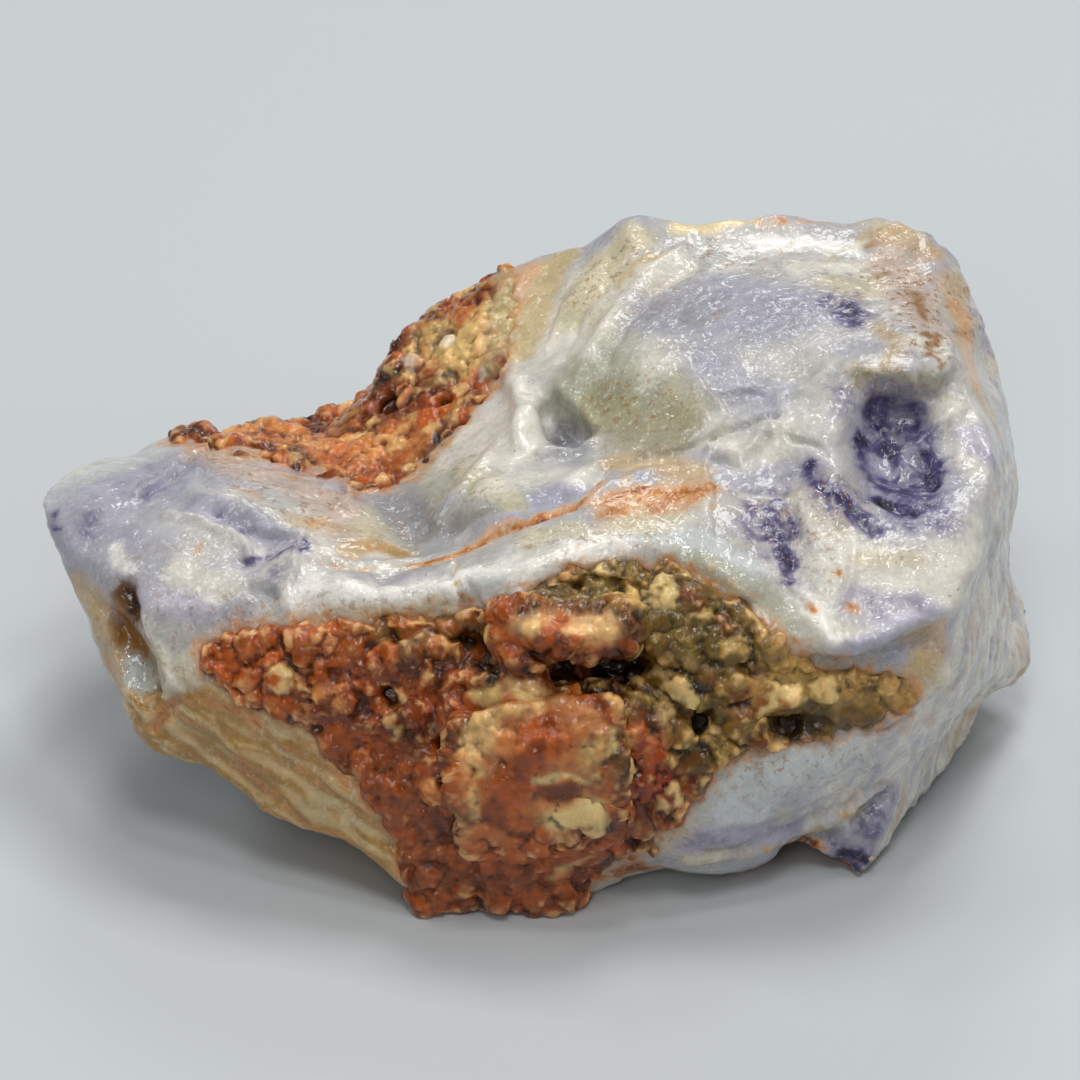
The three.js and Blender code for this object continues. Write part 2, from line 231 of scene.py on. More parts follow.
stoneShape = {
    "skinStep": 0.2,  # edge length of the even skin, mm
    "triangles": 194000,
    "creaseFrom": 42,  # edges sharper than this keep their bite, degrees
    "creaseTo": 95,
    "fittings": 5,
    "softening": 5,  # passes
    # height and half width in mm, then the line it follows in the front plane
    "ridges": [
        (0.4, 0.4, [(-22.3, 1.2), (-20.6, 1), (-19, 0.4), (-17.9, -0.4), (-17.3, -1.3)]),
        (-0.3, 0.35, [(-24.6, 2), (-23.2, 2.9), (-21.6, 4.2), (-20.9, 5)]),
        (0.25, 0.3, [(-24.6, 2.5), (-23, 3.6), (-21.8, 4.8)]),
        (0.3, 0.3, [(-13.4, 4.4), (-12, 3.6), (-11.4, 2.6), (-12.2, 2)]),
        (-1.3, 0.45, [(-9.2, 8.3), (-8.9, 8)]),
        (-0.4, 0.9, [(-21.4, 1.9), (-19.6, 1.4), (-17.8, 0.5), (-16.2, -0.3)]),
        (-0.3, 0.5, [(-17.6, -1.6), (-16.2, -1.1), (-14.8, -0.7)]),
        (0.35, 0.5, [(-17, 0.5), (-15.6, 0.2), (-14.4, -0.4)]),
        (0.3, 1, [(-23.5, -4.2), (-21.4, -4.6), (-18.6, -3.8)]),
        (-0.3, 0.5, [(-19.7, -3.2), (-18.6, -3.6), (-17.6, -3.1), (-16.2, -3.4)]),
        (-0.45, 0.3,
         [(-13.8, -1.4), (-11, -1.9), (-8.5, -1.8), (-6, -1.3), (-4, -0.4), (-2, 0.6), (0, 1.1), (2, 2)]),
        (0.14, 0.16, [(-13.4, -1), (-11, -1.4), (-8.8, -1.4), (-6.6, -0.9), (-5, 0.1)]),
        (-0.12, 0.14, [(-13.4, -0.7), (-11, -1.1), (-9, -1.1), (-7, -0.6)]),
        (0.4, 0.7, [(-13.6, -3.1), (-10.6, -3.4), (-7.4, -3.2), (-5.4, -2.9)]),
        (0.35, 0.9, [(-4.4, -2.4), (-2, -2.2), (0.6, -1.2), (3.4, -0.5), (6.4, -0.2)]),
        (-0.35, 0.22, [(-5, -1.3), (-5.2, -2.4), (-4.5, -3.6), (-4.7, -4.4)]),
        (-0.2, 0.4, [(-9.6, -2.5), (-9.8, -3.4), (-9.4, -4.4)]),
        (0.75, 0.9, [(-2.4, 10.6), (-1.2, 9.2), (-0.9, 7.6), (-1.4, 6)]),
        (-0.9, 0.8, [(0.6, 7.8), (1, 6.6), (1.8, 5.9)]),
        (-0.6, 0.6, [(1.6, 7), (2.6, 6.3)]),
        (0.5, 0.4, [(0.2, 5.2), (1.8, 5.2), (3.2, 5.8)]),
        (0.5, 0.5, [(1.2, 9.2), (2.4, 8.2), (3.4, 7)]),
        (0.4, 0.6, [(-6.2, 1.2), (-4.8, 3), (-3.4, 4.6), (-2.4, 6)]),
        (0.35, 0.7, [(-3.4, 3.4), (-1, 2.8), (1.6, 3.4), (3.4, 4.6)]),
        (-0.35, 0.35, [(-5.6, 0.4), (-3.6, 1.6), (-1.2, 1.9), (1, 2.4), (2.8, 3.2), (3.7, 4)]),
        (0.3, 0.5, [(3, 2.2), (4.4, 3.3), (6.6, 4), (9, 4.2)]),
        (-0.3, 0.3, [(4, 4.4), (6.4, 5), (9, 5.4), (10.4, 6.2)]),
        (0.4, 0.6, [(2.4, 9.4), (3.3, 11.8), (5, 14.6), (6.8, 16.4), (8.6, 17.6)]),
        (-0.4, 0.5, [(4, 10.8), (5.4, 13.4), (7.4, 15.6), (9.6, 16.9)]),
        (-0.25, 0.35, [(1.2, 11), (2.4, 13.6), (4, 15.8), (6.2, 17.6)]),
        (0.25, 0.4, [(0.4, 11.6), (1.8, 14.4), (3.6, 16.8)]),
        (-0.55, 0.18, [(10.4, 6.2), (11.6, 6.7), (13, 7.1), (14.3, 7.6)]),
        (-0.4, 0.15, [(10.4, 8.7), (11.8, 8.9), (13.4, 8.8)]),
        (-0.5, 0.17, [(17.6, 11.8), (18.8, 12), (20.2, 11.9)]),
        (-0.4, 0.22, [(10.6, 4.9), (12, 4.3), (13, 5), (13.8, 6.2)]),
        (0.3, 0.4, [(10.4, 5.6), (12, 5.1), (13, 5.9), (14, 7)]),
        (-0.35, 0.18, [(12.4, 2.9), (13.8, 3), (14.8, 2.7)]),
        (-0.35, 0.2, [(15, 6.3), (16.2, 5.9), (17.4, 5.2)]),
        (0.3, 0.5, [(14.6, 8.6), (16.2, 9.2), (17.4, 10.2)]),
        (-0.35, 0.4, [(15.3, 2.6), (15.2, 0.4), (15.3, -2)]),
        (0.3, 0.6, [(16.3, 1.6), (16.6, 0), (16.8, -1.6)]),
        (-0.3, 0.35, [(17.6, 2.4), (18.6, 1.7), (20.2, 0.6)]),
        (0.25, 0.3, [(19, 0), (18.9, -1.8), (18.3, -3.6)]),
        (0.28, 0.3, [(15.2, -2.7), (16.2, -3.6), (17.1, -4.6), (17.5, -6.2)]),
        (0.25, 0.3, [(18.6, -4.6), (18.5, -6.2)]),
        (-0.8, 1.1, [(20.6, 7.8), (22.4, 7.2)]),
        (0.4, 0.6, [(18.6, 10.3), (20.6, 10.3), (22.6, 10.4), (24.6, 10.8)]),
        (-0.5, 0.5, [(23.4, 4.8), (23.9, 3.4)]),
        (0.35, 0.35, [(21.6, 4.7), (21.9, 3.8)]),
        (-0.4, 0.35, [(20.6, 2.2), (21.5, 1.8), (22.6, 1.6)]),
        (0.4, 0.7, [(24.6, 8.4), (25.4, 6.4), (25.4, 4.6)]),
        (0.3, 0.5, [(22.4, 12), (24.6, 12.2), (24.8, 10.9)]),
        (0.45, 0.5,
         [(16.4, -4.9), (17.4, -6.2), (18.9, -6.4), (20.2, -5.9), (21.4, -5.2), (22.8, -4.7), (24.6, -4.1)]),
        (-0.7, 0.6, [(17, -7.3), (19, -7.3), (21, -6.7), (23.4, -6.1)]),
        (-0.3, 0.25, [(20.6, -9.8), (22.4, -10.6), (20.6, -11.6), (17.6, -12.2)]),
        (0.3, 0.4, [(9, -19.4), (12, -18.9), (14.6, -18.2), (17, -17.2), (19.6, -15.9)]),
        (-0.35, 0.25, [(10, -18.9), (13, -18.2), (15.6, -17.2), (18.4, -16.2), (20.6, -14.8)]),
        (0.22, 0.5, [(9, -17.6), (12, -17), (15, -16.3), (18, -15)]),
        (-0.45, 0.35, [(15.4, -18.9), (17.4, -18), (19.4, -16.8), (21, -15.6)]),
        (-0.7, 0.6, [(-24.9, -3.4), (-24.5, -4.4)]),
        (-0.5, 0.6, [(-25.2, -5.2), (-24.4, -6.6), (-23.6, -8.2), (-23.2, -9.4)]),
        (0.35, 0.35, [(-23.8, -4.6), (-22.9, -6.4), (-22.3, -8.4), (-22.6, -9.4)]),
        (0.35, 0.35, [(-26.2, -4.6), (-25.6, -6.8), (-24.9, -9), (-23.8, -10.8)]),
        (-0.4, 0.3, [(-22.2, -9.7), (-22.8, -10.5), (-23.4, -11.3)]),
        (0.6, 0.7, [(-1.6, -5.4), (0.6, -4.9), (3, -5.2), (4.6, -5.6)]),
        (-2.1, 1, [(1.4, -7.7), (3.4, -7.8), (5.6, -8)]),
        (-1.2, 0.6, [(-4.6, -6), (-3.2, -6.8), (-2.2, -7.8)]),
        (0.6, 0.6, [(-4.2, -9.6), (-2.6, -9.4), (-0.6, -9.4)]),
        (0.5, 0.5, [(-4.5, -11), (-4.8, -12.6), (-4.5, -14.4), (-3.9, -16.4)]),
        (-0.5, 0.5, [(-5.6, -13), (-5.4, -15), (-4.7, -16.8)]),
        (-0.35, 0.4, [(-1.6, -12.4), (-1, -14.4), (-1.4, -16.4)]),
        (-0.6, 0.5, [(0.4, -15.1), (2, -14.9), (3.2, -15.2)]),
        (0.5, 0.35, [(0, -14.6), (1.6, -14.2), (3.2, -14.6)]),
        (0.5, 0.8, [(1, -16.6), (2.4, -16.4)]),
        (-0.5, 0.45, [(4.6, -10.4), (5.2, -12.4), (5, -14)]),
        (-0.6, 0.6, [(9.6, -10), (10, -11.4)]),
        (-0.5, 0.6, [(13.4, -10.6), (15, -11.2), (16.6, -11)]),
    ],
    # passes, half width, then the line along which the surface is rubbed smooth
    "rubbed": [
        (90, 3.2, [(20.4, 7.6), (21.6, 5), (22.4, 2.6)]),
        (40, 4.5, [(7, 13.4), (11, 14.4), (14.4, 12.4)]),
        (30, 3, [(-28, 2), (-24, 2.6), (-22, 4)]),
        (30, 2.4, [(-8.6, 1.6), (-7, 0.6)]),
        (25, 2, [(-13, -3), (-8, -3.3), (-2, -2), (4, -0.6)]),
        (30, 3, [(12, -15), (17, -13.6)]),
        (30, 3, [(18, -2.6), (22, -2), (25, -1)]),
    ],
    # the same once the lumps are on
    "polished": [
        (14, 1.5, [(-0.6, -5.3), (1.6, -5.2), (4, -5.4)]),
        (12, 2.4, [(-2.4, -12.2), (1.4, -12), (1, -14.2)]),
    ],
    # height, how far it fades, then the line: the side to the left of its course is raised
    "steps": [
        (0.6, 3.2,
         [(-12.8, -0.9), (-14.3, -0.1), (-15.6, 0.5), (-17, 1.6), (-18.6, 2.4), (-20.5, 2.6), (-20.2, 6.6)]),
        (0.45, 1.6, [(-14.9, -5.2), (-14.8, -2.6), (-14.4, -1)]),
        (0.3, 1.6, [(22.8, 9.6), (22.4, 12.2), (24.9, 12.6)]),
        (0.35, 1.4, [(10.3, 1.6), (10.2, 4.4), (11.4, 7.6), (9.8, 10)]),
        (1.3, 1.7, [(-1.9, -5), (-0.6, -6.3), (1.6, -6.5), (3.4, -6.4), (5, -5.9)]),
        (1.1, 3,
         [(4.5, -14), (4.3, -10.6), (0.4, -9.6), (-2.2, -10), (-4.9, -11.6), (-5, -14), (-4.1, -17)]),
        (0.6, 1.6, [(-0.4, -15), (1.6, -14.9), (3.6, -15.1)]),
        (0.5, 1.2, [(0.4, -17.4), (1.8, -17.5), (3.4, -17)]),
    ],
}

# where each kind of skin lies in the front plane
hostOutline = [
    (-20.5, -6.4), (-18, -5.3), (-14.5, -5), (-11, -5.1), (-8, -4.7), (-5.5, -4.5), (-2.6, -4),
    (0, -3), (2, -1.9),
    (4.5, -1.4), (7.5, -1.4), (9.5, -2.1), (11.8, -3.6), (13.5, -5.2), (15, -6.6), (17, -7.5), (20, -8),
    (22.4, -8.8), (22.2, -10), (20, -11.3), (17, -12), (14.5, -12.2), (12, -13), (10, -14.6),
    (8.5, -16.5),
    (6.5, -18.3), (3.4, -20), (2, -24), (-8, -24), (-8.3, -18.5), (-10.2, -16), (-12.4, -13.4),
    (-14.4, -11.2),
    (-18, -9.9), (-20.2, -8),
]
crustOutline = [
    (-23, 6.3), (-20.3, 5.9), (-18.3, 5.6), (-15.5, 4.8), (-12.8, 3.9), (-11, 3.4), (-8.8, 3.4),
    (-7.2, 4.9),
    (-5.2, 6.8), (-3.6, 8.6), (-2.4, 10.4), (-1.9, 12.6), (-1.6, 15), (-1.2, 20), (-8, 20), (-24, 9),
]
creamOutline = [
    (-22.4, -10), (-20.3, -9.2), (-18, -9.9), (-14.4, -11.2), (-12.4, -13.4), (-10.2, -16), (-8.3, -18.5),
    (-8, -21), (-12, -24), (-30, -14), (-25, -10),
]
sideOutline = [
    (27.5, 5), (26.8, 0), (25.8, -3), (24.8, -6), (24.4, -8.6), (21.6, -11), (19, -13), (16, -15.6),
    (15.6, -18.6),
    (20, -24), (34, -10), (34, 5),
]


def evenSkin():
    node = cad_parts["opal_stone"]
    stone = bpy.data.objects.new("stone", node.data.copy())
    bpy.context.collection.objects.link(stone)
    work = bmesh.new()
    work.from_mesh(stone.data)
    bmesh.ops.remove_doubles(work, verts=work.verts, dist=0.01 * mm)
    crease = work.edges.layers.float.new("crease_edge")
    for edge in work.edges:
        turn = math.degrees(edge.calc_face_angle(0))
        sharp = (turn - stoneShape["creaseFrom"]) / (stoneShape["creaseTo"] - stoneShape["creaseFrom"])
        edge[crease] = min(max(sharp, 0), 1) if edge.is_convex else 0
    work.to_mesh(stone.data)
    work.free()
    rounder = stone.modifiers.new("rounder", "SUBSURF")
    rounder.levels = rounder.render_levels = 2
    corners = readPoints(stone.data)
    cage = corners.copy()
    for _ in range(stoneShape["fittings"]):
        # the rounded skin is pulled back out through the corners
        shown = stone.evaluated_get(bpy.context.evaluated_depsgraph_get()).data
        cage += (corners - readPoints(shown)[:len(corners)]) * 0.8
        stone.data.vertices.foreach_set("co", (cage * mm).ravel())
        stone.data.update()
        bpy.context.view_layer.update()
    rounder.levels = 3
    even = stone.modifiers.new("even", "REMESH")
    even.mode = "VOXEL"
    even.voxel_size = stoneShape["skinStep"] * mm
    bakeModifiers(stone)
    return stone


def bakeModifiers(thing):
    made = bpy.data.meshes.new_from_object(thing.evaluated_get(bpy.context.evaluated_depsgraph_get()))
    thing.modifiers.clear()
    thing.data = made


def countTriangles(thing):
    return sum(len(face.vertices) - 2 for face in thing.data.polygons)


def thin(thing, triangles):
    faces = countTriangles(thing)
    if faces > triangles:
        fewer = thing.modifiers.new("fewer", "DECIMATE")
        fewer.ratio = triangles / faces
        bakeModifiers(thing)


def wobble(points, size, amount, seed):
    return amount * np.stack([roughNoise(points, size, 2, seed + 7 * k) for k in range(3)], 1)


def regionMasks(points, facing):
    # 1 inside each region, 0 outside, with uneven edges
    flat = toFront(points + wobble(points, 1.5, 0.7, 51))
    ahead = ease(facing, -0.4, -0.1)
    plane = flat[:, :2]
    masks = {
        "host": ease(gapToOutline(plane, hostOutline), -0.7, 0.5) * ease(flat[:, 2], -1, 2) * ahead,
        "crust": ease(gapToOutline(plane, crustOutline), -0.8, 0.5) * ease(facing, -0.9, -0.6),
        "cream": ease(gapToOutline(plane, creamOutline), -1.1, -0.2) * ease(flat[:, 2], -2, 1) * ahead,
        "side": ease(gapToOutline(plane, sideOutline), -0.4, 0.4) * ease(facing, -0.6, -0.2),
    }
    patch = roughNoise(points, 11, 4, 21)
    leftBack = ease(-points[:, 0], -9, 0) * ease(points[:, 1], 6, 14)
    under = ease(-points[:, 2], -9, -3) * ease(-points[:, 1], 0, 12)
    masks["back"] = ease(0.45 * patch + 0.8 * leftBack + 0.7 * under, 0.42, 0.58)
    masks["back"] *= 1 - ease(facing, -0.62, -0.36)
    masks["rock"] = np.maximum.reduce([masks["host"], masks["crust"], masks["back"]])
    return masks


def alongFlow(points, direction, stretch):
    # squeezes space along a direction, so that noise read there runs in long streaks
    course = np.array(direction, float)
    course /= np.linalg.norm(course)
    along = points @ course
    return points - np.outer(along * (1 - 1 / stretch), course)


def fibreFlow(points):
    return alongFlow(points + wobble(points, 2, 0.5, 78), (-0.1, -0.25, -1), 3.5)


def layerFlow(points, stretch):
    return alongFlow(points + wobble(points, 3, 0.5, 79), (0.85, -0.35, -0.4), stretch)


def lumpCells(points):
    return cellNoise(points + wobble(points, 0.9, 0.3, 41), 1.3, 3)[0]


def smoothAlong(work, tree, lines, inner, outer):
    for passes, width, spots in lines:
        gap = gapToLine(work.points, ontoStone(tree, spots))
        work.relax(passes, 0.6 * (1 - ease(gap, width * inner, width * outer)))


def ridgeLift(points, tree):
    lift = np.zeros(len(points))
    for height, width, spots in stoneShape["ridges"]:
        gap = gapToLine(points, ontoStone(tree, spots))
        lift += height * np.exp(-(gap / width) ** 2)
    return lift


def stepLift(plane):
    lift = np.zeros(len(plane))
    for height, fade, line in stoneShape["steps"]:
        line = np.array(line, float)
        side, best = np.zeros(len(plane)), np.full(len(plane), 1e9)
        for a, b in zip(line[:-1], line[1:]):
            gap = gapToLine(plane, np.array([a, b]))
            turn = (b[0] - a[0]) * (plane[:, 1] - a[1]) - (b[1] - a[1]) * (plane[:, 0] - a[0])
            side = np.where(gap < best, np.sign(turn), side)
            best = np.minimum(best, gap)
        rise = ease(side * best, -0.12, 0.12) * np.exp(-np.maximum(side * best, 0) / fade)
        lift += height * rise * np.exp(-np.maximum(best - fade * 3, 0))
    return lift


# height and size in mm of what roughens each kind of skin
skinGrain = {
    "swell": (0.14, 4.5),
    "opalRipple": (0.07, 1.5),
    "opalGrain": (0.02, 0.55),
    "sideFibre": (0.28, 1.3),
    "sideCleft": (0.25, 1.4),
    "creamLayer": (0.3, 1.2),
    "creamCleft": (0.25, 1.5),
    "rockBlock": (0.45, 2.6),
    "rockLump": 0.4,  # height alone: lumpCells holds the size
    "rockGrit": (0.2, 0.6),
    "hiddenFlake": (0.5, 9),
    "hiddenGrain": (0.22, 2.2),
    "hiddenFold": (0.3, 7),
}


def bumps(name, points, octaves, seed):
    height, size = skinGrain[name]
    return height * roughNoise(points, size, octaves, seed)


def clefts(name, points, seed):
    height, size = skinGrain[name]
    return -height * np.abs(smoothNoise(points, size, seed))


def roughen(p, masks, ahead):
    rock, side = masks["rock"], masks["side"]
    opal = 1 - rock
    swell = bumps("swell", p, 3, 31)
    ripples = bumps("opalRipple", alongFlow(p, (1, 0.35, 0.1), 3.5), 3, 33)
    swell += opal * (1 - side) * (ripples + bumps("opalGrain", p, 2, 34))
    fibres = fibreFlow(p)
    swell += side * (bumps("sideFibre", fibres, 4, 35) + clefts("sideCleft", fibres, 36))
    layers = layerFlow(p, 7)
    swell += masks["cream"] * (bumps("creamLayer", layers, 4, 37) + clefts("creamCleft", layers, 38))
    height, size = skinGrain["rockBlock"]
    blocks = height * (0.6 - cellNoise(p + wobble(p, 1.6, 0.4, 49), size, 6)[0])
    lumps = skinGrain["rockLump"] * (0.6 - lumpCells(p)) + bumps("rockGrit", p, 3, 44)
    swell += rock * (blocks + (1 - rock) * lumps)
    height, size = skinGrain["hiddenFlake"]
    near, far = cellNoise(p + wobble(p, 5, 1.2, 46), size, 5)
    flakes = height * ease(far - near, 0, 0.25) - 0.3
    folds = clefts("hiddenFold", p + wobble(p, 4, 0.8, 47), 39)
    return swell + (1 - ahead) * opal * (flakes + bumps("hiddenGrain", p, 5, 48) + folds)


def sculpt(stone):
    work = Stone(stone.data)
    work.relax(stoneShape["softening"], 0.6)
    tree = treeOf(stone.data)
    smoothAlong(work, tree, stoneShape["rubbed"], 0.5, 1.3)
    ahead = ease(work.facing, -0.3, 0.05)
    warped = work.points + wobble(work.points, 1.8, 0.28, 61)
    work.swell(ridgeLift(warped, tree) + stepLift(toFront(warped)[:, :2]) * ahead)
    work.swell(roughen(work.points, regionMasks(work.points, work.facing), ahead))
    smoothAlong(work, tree, stoneShape["polished"], 0.6, 1.2)
    withinBox(work.points)
    work.refresh()


stone = evenSkin()
print("even skin:", len(stone.data.polygons), "faces")
sculpt(stone)
thin(stone, stoneShape["triangles"])
for face in stone.data.polygons:
    face.use_smooth = True
print("sculpted stone:", countTriangles(stone), "triangles")

palette = {
    "milk": "#dcd8cb", "chalk": "#efece3", "greyMilk": "#c0beb9", "lavenderGrey": "#a7a7b4",
    "paleLavender": "#b8b4c4", "blueGrey": "#8b8c95", "slate": "#66666c", "ice": "#c4c9c8",
    "greenGrey": "#b0b09c", "mossMilk": "#a09a78", "straw": "#c4aa70", "strawMilk": "#cfc5a4",
    "beige": "#c6ac86", "pinkBeige": "#c2ad9f", "peach": "#dda06c", "cream": "#f0d9a6",
    "creamRock": "#dfc08a", "peachCream": "#fbd29c", "sand": "#b8985f", "olive": "#64501f",
    "darkOlive": "#2a200a", "rustOrange": "#bb560f", "rustRed": "#963306", "rustBrown": "#702e08",
    "darkBrown": "#281004", "pinkBrown": "#9c5228", "ochre": "#94621a", "dryTan": "#c0a784",
    "peachRock": "#dc9258", "tanSkin": "#a9854f",
}


def linear(name):
    code = palette.get(name, name)
    parts = np.array([int(code[k:k + 2], 16) for k in (1, 3, 5)]) / 255
    return np.where(parts <= 0.04045, parts / 12.92, ((parts + 0.055) / 1.055) ** 2.4)


